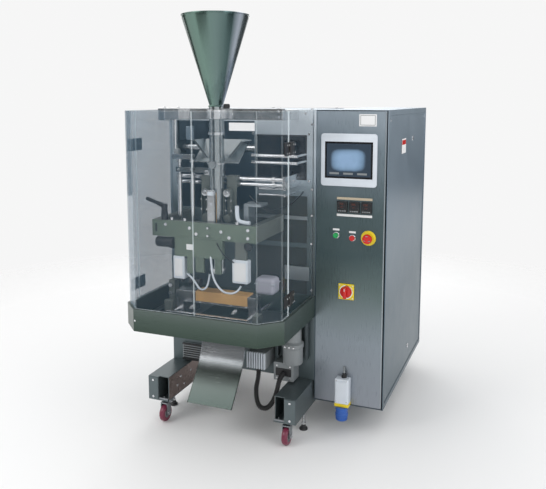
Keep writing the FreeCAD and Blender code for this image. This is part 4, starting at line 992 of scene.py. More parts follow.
class SEALER_OT_control_fittings(bpy.types.Operator):
    """Temperature controllers, strips, button bezels, emergency stop ring and switch plate"""
    bl_idname = "sealer.control_fittings"
    bl_label = "Control fittings"

    def execute(self, context):
        low, high = corners("control_fittings")
        face = high.y
        cases = []
        panes = []
        digits = []
        keys = []
        for middle in (0.3105, 0.361, 0.4115):
            case = box((middle - 0.022, face - 0.009, 0.943), (middle + 0.022, face, 0.990), 0.0018)
            carve(case, box((middle - 0.018, face - 0.02, 0.957), (middle + 0.018, face - 0.0075, 0.986)))
            cases.append(case)
            panes.append(box((middle - 0.018, face - 0.0082, 0.957), (middle + 0.018, face - 0.007,
                0.986)))
            digits += seven_segments(middle - 0.010, face - 0.0082, 0.9755, 0.007, 3)
            digits += seven_segments(middle - 0.007, face - 0.0082, 0.9630, 0.005, 3)
            for index in range(4):
                x = middle - 0.0165 + index * 0.0088
                keys.append(box((x, face - 0.0098, 0.9475), (x + 0.0062, face - 0.0085, 0.9525), 0.0005))
        header = box((0.287, face - 0.003, 0.996), (0.435, face, 1.006), 0.0008)
        strip = box((0.287, face - 0.003, 0.927), (0.435, face, 0.937), 0.0008)
        rings = []
        for x, z in ((0.285, 0.846), (0.354, 0.839)):
            rings.append(lathe([(0.0113, 0), (0.0145, 0), (0.0145, 0.003), (0.0125, 0.0055), (0.0113,
                0.0055)], (x, face, z), "Y", 40))
        for ring in rings:
            turn_to_front(ring, face)
        tags = [box((x - 0.014, face - 0.0012, z + 0.020), (x + 0.014, face, z + 0.028), 0.0003) for x,
            z in ((0.285, 0.846), (0.354, 0.839))]
        stop_ring = lathe([(0.0125, 0), (0.031, 0), (0.031, 0.0012), (0.0295, 0.0035), (0.016, 0.005),
            (0.0125, 0.005)], (0.421, face, 0.843), "Y", 56)
        turn_to_front(stop_ring, face)
        plate = box((0.2985, face - 0.006, 0.5775), (0.3655, face, 0.6445), 0.003, 3)
        groove = lathe([(0.0255, 0), (0.0285, 0), (0.0285, 0.0072), (0.0255, 0.0072)], (0.332, face,
            0.611), "Y", 48)
        turn_to_front(groove, face)
        plate_screws = screws([(0.332 + across * 0.027, face - 0.006,
            0.611 + up * 0.027) for across in (-1, 1) for up in (-1, 1)], "Y", 0.0028, 0.0015)
        piece("door_fittings", "cabinet_door", "yellow_plastic", (plate, "yellow"), (cases, "black"),
            (panes, "black_gloss"), (digits, "digits"), (keys, "grey_paint"), (header, "tan_label"),
            (strip, "label"), (rings + [groove], "polished"), (tags, "label"), (stop_ring, "yellow"),
            (plate_screws, "bright"), stands_for=["control_fittings"])
        return {"FINISHED"}


def turn_to_front(item, face):
    """Mirrors a shape that was turned towards +Y so that it stands proud of the front."""
    for vertex in item.data.vertices:
        vertex.co.y = 2 * face - vertex.co.y
    outward(item)
    return item


class SEALER_OT_push_buttons(bpy.types.Operator):
    """Green and red push buttons and the emergency stop's mushroom"""
    bl_idname = "sealer.push_buttons"
    bl_label = "Push buttons"

    def execute(self, context):
        for node, finish, slot in (("green_button", "green_button", "green_plastic"), ("red_button", "red",
                "red_plastic")):
            low, high = corners(node)
            centre = (low + high) / 2
            radius = (high.x - low.x) / 2
            cap = lathe([(0, 0.009), (radius * 0.72, 0.009), (radius * 0.80, 0.0112), (radius - 0.0008,
                0.0112), (radius, 0.0102), (radius, 0), (0, 0)], (centre.x, -0.220, centre.z), "Y", 40)
            turn_to_front(cap, -0.220)
            stem = cylinder((centre.x, (-0.220 + high.y) / 2, centre.z), 0.006, high.y + 0.220, "Y", 0, 24)
            piece(node + "_cap", node, slot, (cap, finish), (stem, "black"), stands_for=[node])
        low, high = corners("emergency_stop")
        centre = (low + high) / 2
        radius = (high.x - low.x) / 2
        face = -0.220
        deep = face - low.y
        mushroom = lathe([(0, 0), (0.012, 0), (0.012, deep - 0.018), (radius * 0.86, deep - 0.017),
            (radius, deep - 0.012), (radius, deep - 0.007), (radius * 0.90, deep - 0.0015), (radius * 0.66,
            deep - 0.0002), (radius * 0.62, deep - 0.001), (0, deep - 0.0004)], (centre.x, face, centre.z),
            "Y", 56)
        turn_to_front(mushroom, face)
        arrows = []
        for index in range(3):
            angle = math.tau * index / 3
            mark = prism([(-0.0045, -0.0015), (0.0045, -0.0015), (0.0045, 0.0015), (-0.0045, 0.0015)],
                low.y - 0.0002, 0.0008, "Y")
            mark.location = (centre.x + 0.0125 * math.sin(angle), 0, centre.z + 0.0125 * math.cos(angle))
            settle(mark)
            arrows.append(mark)
        stem = cylinder((centre.x, (face + high.y) / 2, centre.z), 0.010, high.y - face, "Y", 0, 24)
        piece("emergency_stop_mushroom", "emergency_stop", "red_plastic", (mushroom, "red"), (arrows,
            "grey_paint"), (stem, "black"), stands_for=["emergency_stop"])
        return {"FINISHED"}


class SEALER_OT_main_switch(bpy.types.Operator):
    """Rotary main switch knob with its grip"""
    bl_idname = "sealer.main_switch"
    bl_label = "Main switch"

    def execute(self, context):
        low, high = corners("main_switch_knob")
        centre = (low + high) / 2
        radius = (high.x - low.x) / 2
        face = -0.226
        base = lathe([(0, 0), (radius, 0), (radius, 0.008), (radius - 0.002, 0.011), (radius * 0.55,
            0.012), (0, 0.012)], (centre.x, face, centre.z), "Y", 48)
        turn_to_front(base, face)
        grip = box((centre.x - 0.0075, low.y, centre.z - radius + 0.001), (centre.x + 0.0075, face - 0.006,
            centre.z + radius - 0.001), 0.003, 3)
        pointer = box((centre.x - 0.0012, low.y - 0.0004, centre.z + radius * 0.35), (centre.x + 0.0012,
            low.y + 0.001, centre.z + radius - 0.004))
        stem = cylinder((centre.x, (face + high.y) / 2, centre.z), 0.0055, high.y - face, "Y", 0, 24)
        piece("main_switch_grip", "main_switch", "red_plastic", (base, "red"), (grip, "red"), (pointer,
            "label"), (stem, "black"), stands_for=["main_switch_knob"])
        return {"FINISHED"}


class SEALER_OT_power_inlet(bpy.types.Operator):
    """Power inlet box with its lid, collar and ribbed blue cap"""
    bl_idname = "sealer.power_inlet"
    bl_label = "Power inlet"

    def execute(self, context):
        low, high = corners("power_inlet")
        face = high.y
        case = box((low.x, face - 0.042, 0.135), (high.x, face, high.z), 0.005, 3)
        lid = box((low.x + 0.006, face - 0.0445, 0.158), (high.x - 0.006, face - 0.041, high.z - 0.012),
            0.0015)
        band = box((low.x - 0.0005, face - 0.0425, 0.122), (high.x + 0.0005, face, 0.137), 0.003)
        middle = (low.x + high.x) / 2
        axis_y = face - 0.032
        cap = lathe([(0, 0.065), (0.021, 0.065), (0.0235, 0.068), (0.0235, 0.082), (0.0265, 0.084), (0.027,
            0.096), (0.0245, 0.099), (0.0245, 0.112), (0.0265, 0.114), (0.0265, 0.122), (0, 0.122)],
            (middle, axis_y, 0), "Z", 48)
        ribs = []
        for index in range(16):
            angle = math.tau * index / 16
            rib = box((-0.0013, 0.0225, 0.069), (0.0013, 0.0250, 0.081), 0.0004)
            rib.rotation_euler = (0, 0, angle)
            rib.location = (middle, axis_y, 0)
            settle(rib)
            ribs.append(rib)
        hinge = cylinder((middle, face - 0.0435, high.z - 0.010), 0.0022, 0.040, "X", 0, 20)
        gland = lathe([(0.004, 0), (0.011, 0), (0.011, 0.008), (0.008, 0.010), (0.0075, 0.018), (0.004,
            0.020)], (middle + 0.004, face - 0.016, high.z), "Z", 24)
        lead = pipe([(middle + 0.004, face - 0.016, high.z + 0.014), (middle + 0.004, face - 0.016,
            high.z + 0.026), (middle + 0.002, face - 0.012, high.z + 0.036), (middle, face - 0.002,
            high.z + 0.040)], 0.004)
        corner_screws = screws([(middle + across * 0.022, face - 0.042, z) for across in (-1,
            1) for z in (0.147, high.z - 0.006)], "Y", 0.0026, 0.0012)
        piece("power_inlet_box", "cabinet_door", "white_plastic", (case, "white"), (lid, "white"), (band,
            "yellow"), (cap, "blue"), (ribs, "blue"), (hinge, "white"), (gland, "black"), (lead,
            "grey_paint"), (corner_screws, "bright"), stands_for=["power_inlet"])
        return {"FINISHED"}


# ---------------------------------------------------------------- tray and guard
class SEALER_OT_tray(bpy.types.Operator):
    """Tray with folded edges, loose trough sheets and bolts"""
    bl_idname = "sealer.tray"
    bl_label = "Tray"

    def execute(self, context):
        low, high = corners("tray")
        floor = low.z + 0.003
        trough = prism([(-0.45, floor + 0.001), (-0.31, floor + 0.001), (-0.305, floor + 0.045), (-0.308,
            floor + 0.045), (-0.313, floor + 0.004), (-0.45, floor + 0.004)], -0.52, 0.22, "Y", 0.0006)
        plate = box((-0.42, -0.61, floor + 0.001), (-0.20, -0.53, floor + 0.004), 0.0008)
        bolts = screws([(x, y, floor) for x, y in ((-0.46, -0.26), (-0.46, -0.50), (0.16, -0.26), (0.16,
            -0.50), (-0.25, -0.62), (-0.05, -0.62), (0.08, -0.60))], "Z", 0.006, 0.004)
        blocks = [box((0.045, -0.56, floor), (0.075, -0.50, floor + 0.030), 0.002), box((0.10, -0.50,
            floor), (0.13, -0.40, floor + 0.022), 0.002)]
        front_bolts = screws([(-0.41, low.y, low.z + 0.045)], "Y", 0.004, 0.0015)
        # the lining is plain steel, so the tray floor stays lighter than the painted shade of the tray
        lining = [box((low.x + 0.006, -0.55, floor + 0.0003), (-0.272, -0.225, floor + 0.001)),
            box((-0.028, -0.55, floor + 0.0003), (high.x - 0.006, -0.225, floor + 0.001)), box((-0.40,
            low.y + 0.010, floor + 0.0003), (0.10, -0.551, floor + 0.001))]
        posts = [box((-0.365, -0.470, floor), (-0.338, -0.430, 0.655), 0.003), box((-0.372, -0.500, floor),
            (-0.340, -0.475, 0.575), 0.003), box((0.034, -0.520, floor), (0.060, -0.470, 0.560), 0.003)]
        post_knobs = [cylinder((-0.352, -0.476, z), 0.009, 0.014, "Y", 0.0015, 24) for z in (0.60, 0.635)]
        piece("bag_tray", "machine", "steel", (refined("tray", 0.0014), "tray"), (lining, "steel_flat"),
            (posts, "casting"), (post_knobs, "polished"), (trough, "dark_steel"), (plate, "white"),
            (bolts + front_bolts, "bright"), (blocks, "grey_paint"), stands_for=["tray"])
        return {"FINISHED"}


def clear_panel(name, body, node, finish):
    """An acrylic sheet whose narrow edges carry a painted highlight; its left faces take the given finish
    and the rest the clear acrylic.
    """
    sheet = refined(node, 0.0004)
    sheet.data.materials.clear()
    sheet.data.materials.append(FINISH[finish])
    sheet.data.materials.append(FINISH["acrylic_edge_highlight"])
    sheet.data.materials.append(FINISH["acrylic"])
    for face in sheet.data.polygons:
        face.material_index = 1 if face.area < 0.01 else 0 if face.center.x < -0.40 else 2
    sheet.name = name
    sheet.data.name = name
    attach(sheet, body)
    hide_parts(node)
    return sheet


class SEALER_OT_guard(bpy.types.Operator):
    """Acrylic guard: fixed sides, two doors, hinge leaves and hinges"""
    bl_idname = "sealer.guard"
    bl_label = "Guard"

    def execute(self, context):
        low, high = corners("side_guards")
        # the left faces get the opaque blue copy of the acrylic: painted reflection
        clear_panel("guard_sides", "machine", "side_guards", "acrylic_side_reflection")
        for side in SIDES:
            node = "guard_door_" + side
            clear_panel(node + "_sheet", node, node, "acrylic_side_reflection")
            leaves = "door_leaves_" + side
            leaf_low, leaf_high = corners(leaves)
            outer = leaf_low.x if side == "left" else leaf_high.x
            direction = "-X" if side == "left" else "X"
            bolts = screws([(outer, leaf_low.y + 0.012 + step * 0.018, z + up) for step in (0,
                1) for z in (0.641, 1.219) for up in (-0.015, 0.015)], direction, 0.0032, 0.0012)
            piece(leaves + "_plates", node, "black_plastic", (refined(leaves, 0.0008), "black"), (bolts,
                "bright"), stands_for=[leaves])
        hinge_low, hinge_high = corners("guard_hinges")
        bolts = []
        for x, direction in ((hinge_low.x, "-X"), (hinge_high.x, "X")):
            bolts += screws([(x, hinge_high.y - 0.012 - step * 0.018, z + up) for step in (0,
                1) for z in (0.641, 1.219) for up in (-0.015, 0.015)], direction, 0.0032, 0.0012)
        piece("guard_hinge_plates", "machine", "black_plastic", (refined("guard_hinges", 0.0008), "black"),
            (bolts, "bright"), stands_for=["guard_hinges"])
        return {"FINISHED"}


# ---------------------------------------------------------------- filling column
class SEALER_OT_funnel(bpy.types.Operator):
    """Spun funnel with a rolled rim, a welded seam and its neck"""
    bl_idname = "sealer.funnel"
    bl_label = "Funnel"

    def execute(self, context):
        low, high = corners("funnel")
        centre = (low + high) / 2
        radius = (high.x - low.x) / 2
        seat = 1.372
        wall = 0.0015
        neck = 0.026
        top = high.z
        profile = [(neck - wall, low.z), (neck, low.z), (neck, seat), (0.032, seat), (0.032, seat + 0.003),
            (neck + 0.002, seat + 0.008), (radius - 0.004, top - 0.016), (radius - 0.003, top - 0.006),
            (radius, top - 0.005), (radius, top - 0.001), (radius - 0.002, top), (radius - 0.005,
            top - 0.001), (radius - 0.0065, top - 0.016), (neck - wall, seat + 0.006)]
        cone = lathe(profile, (centre.x, centre.y, 0), "Z", 96)
        seam = pipe([(centre.x - neck * 0.7 - 0.001, centre.y - neck * 0.7, seat + 0.010),
            (centre.x - (radius - 0.004) * 0.7, centre.y - (radius - 0.004) * 0.714, top - 0.016)], 0.0010,
            order=2)
        piece("product_funnel", "machine", "steel", (cone, "funnel"), (seam, "bright"),
            stands_for=["funnel"])
        return {"FINISHED"}


class SEALER_OT_column(bpy.types.Operator):
    """Top beam, filling tube and the forming collar with its wings"""
    bl_idname = "sealer.column"
    bl_label = "Filling column"

    def execute(self, context):
        low, high = corners("top_beam")
        tube_low, tube_high = corners("filling_tube")
        middle = (tube_low + tube_high) / 2
        bolts = screws([(x, low.y + 0.070, low.z + up) for x in (low.x + 0.02,
            high.x - 0.02) for up in (0.012, 0.034)] + [(middle.x + across * 0.052, -0.408,
            1.343) for across in (-1, 1)], "Y", 0.0055, 0.004)
        knob = lathe([(0, 0), (0.011, 0), (0.013, 0.004), (0.013, 0.014), (0.010, 0.018), (0, 0.018)],
            (middle.x + 0.055, middle.y - 0.02, high.z), "Z", 32)
        end_block = box((low.x - 0.001, -0.456, low.z - 0.004), (low.x + 0.030, -0.380, high.z + 0.001),
            0.0015)
        top_bolts = screws([(low.x + 0.014, -0.43, high.z + 0.001), (high.x - 0.02, -0.395, high.z),
            (low.x + 0.06, -0.395, high.z)], "Z", 0.0055, 0.005)
        piece("tube_beam", "machine", "steel", (refined("top_beam", 0.0012), "bright"), (bolts + top_bolts,
            "polished"), (knob, "black"), (end_block, "polished"), stands_for=["top_beam"])
        rings = [lathe([(0.0302, 0), (0.0345, 0), (0.0345, 0.010), (0.0302, 0.010)], (middle.x, middle.y,
            z), "Z", 48) for z in (tube_low.z + 0.012, 1.262)]
        piece("product_tube", "machine", "steel", (refined("filling_tube"), "tube"), (rings, "bright"),
            stands_for=["filling_tube"])
        self.collar(middle)
        return {"FINISHED"}

    def collar(self, middle):
        """Sleeve, sloping shoulder, folded wings and a round clamping knob."""
        low, high = corners("forming_collar")
        top = 1.150
        wings = []
        for side in (-1, 1):
            wing = prism([(middle.x + side * 0.036, top - 0.002), (middle.x + side * 0.112, top + 0.086),
                (middle.x + side * 0.104, top + 0.090), (middle.x + side * 0.036, top + 0.012)],
                middle.y + 0.010, 0.085, "Y", 0.0006)
            wings.append(wing)
        lip = lathe([(0.0365, 0), (0.0405, 0.001), (0.0405, 0.004), (0.0365, 0.005)], (middle.x, middle.y,
            top - 0.004), "Z", 48)
        knob = cylinder((middle.x + 0.004, middle.y - 0.046, top - 0.006), 0.015, 0.016, "Y", 0.002, 8)
        stem = cylinder((middle.x + 0.004, middle.y - 0.036, top - 0.006), 0.005, 0.008, "Y", 0, 20)
        clamp = box((middle.x - 0.030, middle.y - 0.050, 1.104), (middle.x - 0.012, middle.y - 0.034,
            1.122), 0.002)
        bolts = screws([(middle.x - 0.170, middle.y - 0.012, 1.118), (middle.x - 0.111, middle.y - 0.012,
            1.118)], "Y", 0.005, 0.004)
        piece("collar_shoulder", "machine", "steel", (refined("forming_collar", 0.0012), "tube"), (wings,
            "tube"), (lip, "bright"), (knob, "grey_paint"), (stem, "bright"), (clamp, "bright"), (bolts,
            "bright"), stands_for=["forming_collar"])


# ---------------------------------------------------------------- sealing unit
class SEALER_OT_crosshead(bpy.types.Operator):
    """Crosshead casting with its screws, heater block and blank plate"""
    bl_idname = "sealer.crosshead"
    bl_label = "Crosshead"

    def execute(self, context):
        low, high = corners("crosshead")
        face = low.y
        bolts = screws([(x, face, z) for x, z in ((-0.345, 0.900), (-0.235, 0.892), (-0.205, 0.870),
            (-0.095, 0.886), (-0.06, 0.865), (0.020, 0.900), (0.020, 0.868))], "Y", 0.007, 0.004)
        slot_plate = box((low.x - 0.0015, face + 0.004, 0.858), (low.x + 0.012, face + 0.018, 0.910),
            0.0015)
        slot_gap = box((low.x + 0.014, face - 0.0006, 0.868), (low.x + 0.022, face + 0.002, 0.902), 0.0005)
        rib = box((-0.300, face - 0.003, 0.850), (-0.095, face, 0.856), 0.001)
        plate = box((-0.250, face - 0.0012, 0.803), (-0.218, face, 0.826), 0.0005)
        boss = [cylinder((-0.350, face + 0.006, 0.826), 0.021, 0.078, "X", 0.006, 40), cylinder((-0.318,
            face + 0.006, 0.826), 0.024, 0.020, "X", 0.004, 40)]
        hangers = [box((-0.252, face + 0.004, 0.705), (-0.226, face + 0.018, 0.776), 0.002), box((-0.214,
            face + 0.006, 0.712), (-0.176, face + 0.018, 0.776), 0.002), box((-0.128, face + 0.006, 0.712),
            (-0.100, face + 0.018, 0.776), 0.002)]
        roller = cylinder((-0.222, face + 0.022, 0.668), 0.017, 0.050, "X", 0.003, 36)
        casting = refined("crosshead", 0.0022)
        casting.data.materials.clear()
        casting.data.materials.append(FINISH["green"])
        casting.data.materials.append(FINISH["casting"])
        for side in casting.data.polygons:
            side.material_index = 1 if side.center.y > face + 0.026 else 0
        gauge = lathe([(0, 0), (0.017, 0), (0.017, 0.010), (0.0145, 0.012), (0.0145, 0.0105), (0, 0.0105)],
            (0.020, face + 0.008, 0.835), "Y", 40)
        turn_to_front(gauge, face + 0.008)
        nuts = [cylinder((x, face + 0.009, high.z + 0.006), 0.008, 0.012, "Z", 0.001, 6) for x in (-0.32,
            -0.261, -0.03)]
        piece("crosshead_casting", "machine", "green_paint", (casting, None), (bolts, "polished"),
            (slot_plate, "bright"), (slot_gap, "black"), (rib, "green"), (plate, "label"), (boss, "black"),
            (hangers, "green"), (roller, "black"), (gauge, "black"), (nuts, "bright"),
            stands_for=["crosshead"])
        self.seal_bar()
        self.lever()
        return {"FINISHED"}

    def seal_bar(self):
        """The heated bar in front of the tube with its tape and heater lead clamp."""
        low, high = corners("seal_bar")
        tape = box((low.x - 0.0006, high.y - 0.003, low.z + 0.01), (high.x + 0.0006, high.y + 0.0002,
            high.z - 0.01), 0.0006)
        bolts = screws([((low.x + high.x) / 2, -0.497, z) for z in (high.z - 0.015, high.z - 0.055,
            high.z - 0.095)], "Y", 0.0048, 0.004)
        clamp = box((low.x + 0.004, -0.504, low.z + 0.235), (high.x - 0.004, -0.497, low.z + 0.25), 0.001)
        piece("seal_bar_heater", "seal_bar", "bright_steel", (refined("seal_bar", 0.0015), "bright"),
            (tape, "tape"), (bolts, "polished"), (clamp, "white"), stands_for=["seal_bar"])

    def lever(self):
        """Clamping lever: hub, moulded arm with a round grip, and a stub handle."""
        low, high = corners("clamp_lever")
        hub_x = -0.355
        hub_y = (low.y + high.y) / 2
        crown = high.z - 0.026
        hub = lathe([(0, low.z), (0.0058, low.z), (0.0058, 0.918), (0.0125, 0.918), (0.0145, 0.922),
            (0.0130, 0.950), (0.0118, crown - 0.012), (0.0135, crown - 0.004), (0.0115, crown + 0.006), (0,
            crown + 0.008)], (hub_x, hub_y, 0), "Z", 36)
        reach = hub_x - low.x
        arm = lathe([(0, -0.004), (0.0098, -0.002), (0.0105, 0.010), (0.0070, reach * 0.45), (0.0080,
            reach * 0.85), (0.0085, reach * 0.98), (0.0045, reach * 1.04), (0, reach * 1.05)], (0, 0, 0),
            "Z", 28)
        arm.rotation_euler = (0, math.radians(-72), 0)
        arm.location = (hub_x, hub_y, crown - 0.002)
        settle(arm)
        pin = cylinder((hub_x, hub_y, crown + 0.009), 0.004, 0.004, "Z", 0.0008, 20)
        piece("clamp_lever_handle", "clamp_lever", "black_plastic", (hub, "black"), (arm, "black"), (pin,
            "bright"), stands_for=["clamp_lever"])


class SEALER_OT_rods(bpy.types.Operator):
    """Guide columns and rails with their collars"""
    bl_idname = "sealer.rods"
    bl_label = "Guide rods"

    def execute(self, context):
        collars = []
        for x in (-0.320, -0.261):
            for z in (0.925, 1.085, 1.148):
                collars.append(lathe([(0.0062, 0), (0.011, 0), (0.011, 0.010), (0.0062, 0.010)], (x,
                    -0.440, z), "Z", 28))
        for x in (-0.280, 0.075):
            for z in (1.064, 1.086):
                collars.append(lathe([(0.0081, 0), (0.013, 0), (0.013, 0.012), (0.0081, 0.012)], (x,
                    -0.400, z), "X", 28))
        sleeves = [cylinder((x, -0.440, 1.000), 0.0095, 0.160, "Z", 0.001, 32) for x in (-0.320, -0.261)]
        upper_bars = [cylinder((0.060, -0.345, z), 0.0065, 0.200, "X", 0.001, 28) for z in (1.176, 1.148)]
        upper_bars += [cylinder((0.150, -0.283, z), 0.0055, 0.126, "Y", 0.001, 24) for z in (1.176, 1.148)]
        short_bars = [cylinder((0.06, -0.36, z), 0.005, 0.12, "X", 0.001, 24) for z in (1.02, 1.045)]
        short_bars += [cylinder((0.118, -0.30, z), 0.004, 0.16, "Y", 0.001, 24) for z in (1.02, 1.045)]
        knobs = [lathe([(0.003, 0), (0.012, 0), (0.014, 0.004), (0.014, 0.013), (0.011, 0.017), (0.003,
            0.017)], place, axis, 24) for place, axis in (((0.125, -0.40, 1.064), "X"), ((-0.338, -0.44,
            1.19), "X"))]
        piece("guide_columns", "machine", "bright_steel", (refined("guide_rods", 0.0006), "polished"),
            (collars, "bright"), (sleeves + upper_bars + short_bars, "polished"), (knobs, "grey_paint"),
            stands_for=["guide_rods"])
        return {"FINISHED"}


class SEALER_OT_belts(bpy.types.Operator):
    """Film pulling belt units and their drive pulleys"""
    bl_idname = "sealer.belts"
    bl_label = "Pull belts"

    def execute(self, context):
        for side in SIDES:
            node = "belt_unit_" + side
            low, high = corners(node)
            bolts = screws([((low.x + high.x) / 2 + across * 0.012, low.y + 0.001, z) for across in (-1,
                1) for z in (0.96, 1.0)], "Y", 0.0036, 0.002)
            piece(node + "_body", node, "green_paint", (refined(node, 0.0008), "casting"), (bolts,
                "bright"), stands_for=[node])
            pulley = "drive_pulley_" + side
            low, high = corners(pulley)
            centre = (low + high) / 2
            front = lathe([(0, 0), (0.013, 0), (0.0145, 0.0015), (0.0145, 0.003), (0.0085, 0.0032),
                (0.0065, 0.005), (0, 0.005)], (centre.x, low.y, centre.z), "Y", 36)
            turn_to_front(front, low.y)
            piece(pulley + "_disc", pulley, "bright_steel", (refined(pulley, 0.0005), "bright"), (front,
                "polished"), stands_for=[pulley])
        return {"FINISHED"}


class SEALER_OT_jaws(bpy.types.Operator):
    """Horizontal sealing jaws wrapped in tape, with bolts and springs, and the knife"""
    bl_idname = "sealer.jaws"
    bl_label = "Sealing jaws"

    def execute(self, context):
        for node, near in (("front_jaw", -1), ("rear_jaw", 1)):
            low, high = corners(node)
            face = low.y if near < 0 else high.y
            back = high.y + (0.0010 if near > 0 else 0.0004)
            outer = (low.y - 0.0010, low.y + 0.0040) if near < 0 else (high.y - 0.0040, back)
            inner = (outer[1] - 0.0015, back) if near < 0 else (low.y - 0.0010, outer[0] + 0.0015)
            tape = [box((-0.2395, inner[0], 0.5785), (-0.0065, inner[1], 0.5905), 0.001), box((-0.2395,
                inner[0], 0.5965), (-0.0065, inner[1], 0.6205), 0.001), box((-0.240, outer[0], 0.578),
                (-0.006, outer[1], 0.6210), 0.002, 3)]
            bolts = screws([(x, face, 0.574) for x in (-0.285, -0.22, -0.08, -0.015)],
                "Y" if near < 0 else "+Y", 0.0042, 0.003)
            coils = [spring((x, face + near * 0.002, 0.556), (x, face + near * 0.032, 0.556), 0.006,
                0.0011, 6) for x in (-0.245, -0.055)] if near < 0 else []
            piece(node + "_head", node, "tan_tape", (refined(node, 0.0015), "bright"), (tape, "tape"),
                (bolts, "polished"), (coils, "polished"), stands_for=[node])
        dress("polished", "knife")
        return {"FINISHED"}


class SEALER_OT_seal_fittings(bpy.types.Operator):
    """Heater covers, connector, valve box and the looping air tubes"""
    bl_idname = "sealer.seal_fittings"
    bl_label = "Heater covers and air tubes"

    def execute(self, context):
        tube = context.scene.sealer_sizes.air_tube
        covers = [box((-0.314, -0.520, 0.678), (-0.262, -0.472, 0.774), 0.006, 3), box((-0.050, -0.520,
            0.684), (0.018, -0.484, 0.779), 0.006, 3)]
        inserts = [box((-0.306, -0.5215, 0.690), (-0.270, -0.5195, 0.762), 0.001), box((-0.042, -0.5215,
            0.694), (0.010, -0.5195, 0.768), 0.001)]
        neck = box((-0.038, -0.515, 0.778), (0.010, -0.497, 0.850), 0.002)
        sockets = [cylinder((x, -0.498, z), 0.009, 0.014, "Z", 0.002, 24) for x, z in ((-0.288, 0.672),
            (-0.016, 0.678))]
        tray_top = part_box("tray")[1].z
        valve = box((-0.050, -0.300, tray_top + 0.003), (0.040, -0.222, tray_top + 0.076), 0.018, 4)
        valve_band = box((-0.0508, -0.3008, tray_top + 0.048), (0.0408, -0.2212, tray_top + 0.052), 0.018,
            4)
        loops = [[(-0.262, -0.500, 0.700), (-0.235, -0.512, 0.690), (-0.210, -0.520, 0.668), (-0.195,
            -0.516, 0.642), (-0.178, -0.500, 0.640), (-0.170, -0.486, 0.665), (-0.168, -0.480, 0.700)],
            [(-0.150, -0.506, 0.800), (-0.135, -0.530, 0.760), (-0.120, -0.545, 0.700), (-0.085, -0.540,
            0.650), (-0.045, -0.520, 0.640), (-0.020, -0.505, 0.660), (-0.015, -0.500, 0.684)], [(-0.130,
            -0.500, 0.850), (-0.100, -0.540, 0.830), (-0.060, -0.548, 0.790), (-0.035, -0.530, 0.770)],
            [(0.010, -0.480, 1.03), (0.035, -0.470, 1.00), (0.060, -0.420, 0.96), (0.100, -0.330, 0.965),
            (0.135, -0.240, 1.00), (0.140, -0.222, 1.02)], [(-0.300, -0.505, 0.784), (-0.305, -0.470,
            0.830), (-0.330, -0.400, 0.850), (-0.350, -0.300, 0.86), (-0.360, -0.222, 0.87)],]
        tubes = [pipe(points, tube if index < 2 else tube * 0.6) for index, points in enumerate(loops)]
        bracket = [box((-0.020, -0.470, 0.880), (0.000, -0.400, 0.985), 0.0015), box((-0.020, -0.470,
            0.985), (0.055, -0.400, 0.995), 0.0015)]
        elbow = pipe([(-0.035, -0.50, 0.99), (-0.035, -0.50, 0.955), (-0.030, -0.50, 0.930), (0.0, -0.50,
            0.925), (0.02, -0.50, 0.925)], 0.008)
        piece("heater_covers", "machine", "white_plastic", (covers, "white"), (inserts, "label"), (neck,
            "casting"), (sockets, "black"), (valve, "lilac"), (valve_band, "white"), (tubes[:2], "white"),
            (tubes[2:], "black"), (bracket, "steel"), (elbow, "white"), stands_for=["seal_fittings"])
        return {"FINISHED"}


# ---------------------------------------------------------------- below the tray
class SEALER_OT_chute(bpy.types.Operator):
    """Bag chute bent from one sheet, with folded side edges"""
    bl_idname = "sealer.chute"
    bl_label = "Bag chute"

    def execute(self, context):
        low, high = corners("chute")
        line = smooth_line([(0, -0.372, high.z - 0.002), (0, -0.386, 0.430), (0, -0.402, 0.360), (0,
            -0.424, 0.306), (0, -0.462, 0.258), (0, -0.502, 0.210), (0, low.y + 0.002, low.z + 0.002)], 8)
        thick = 0.0015
        inner = [(point.y, point.z) for point in line]
        outer = [(point.y + thick, point.z - thick) for point in line]
        sheet = prism(inner + outer[::-1], low.x, high.x - low.x, "X")
        only(sheet)
        bpy.ops.object.shade_smooth_by_angle(angle=math.radians(20))
        rails = [prism([(a - thick, b) for a, b in inner] + [(a + 0.006, b - 0.004) for a,
            b in inner[::-1]], x, thick, "X") for x in (low.x, high.x - thick)]
        # the chute finish carries the painted highlight of the bend and the painted shade of the flap
        piece("bag_chute", "machine", "steel", (sheet, "chute"), (rails, "chute"), stands_for=["chute"])
        return {"FINISHED"}


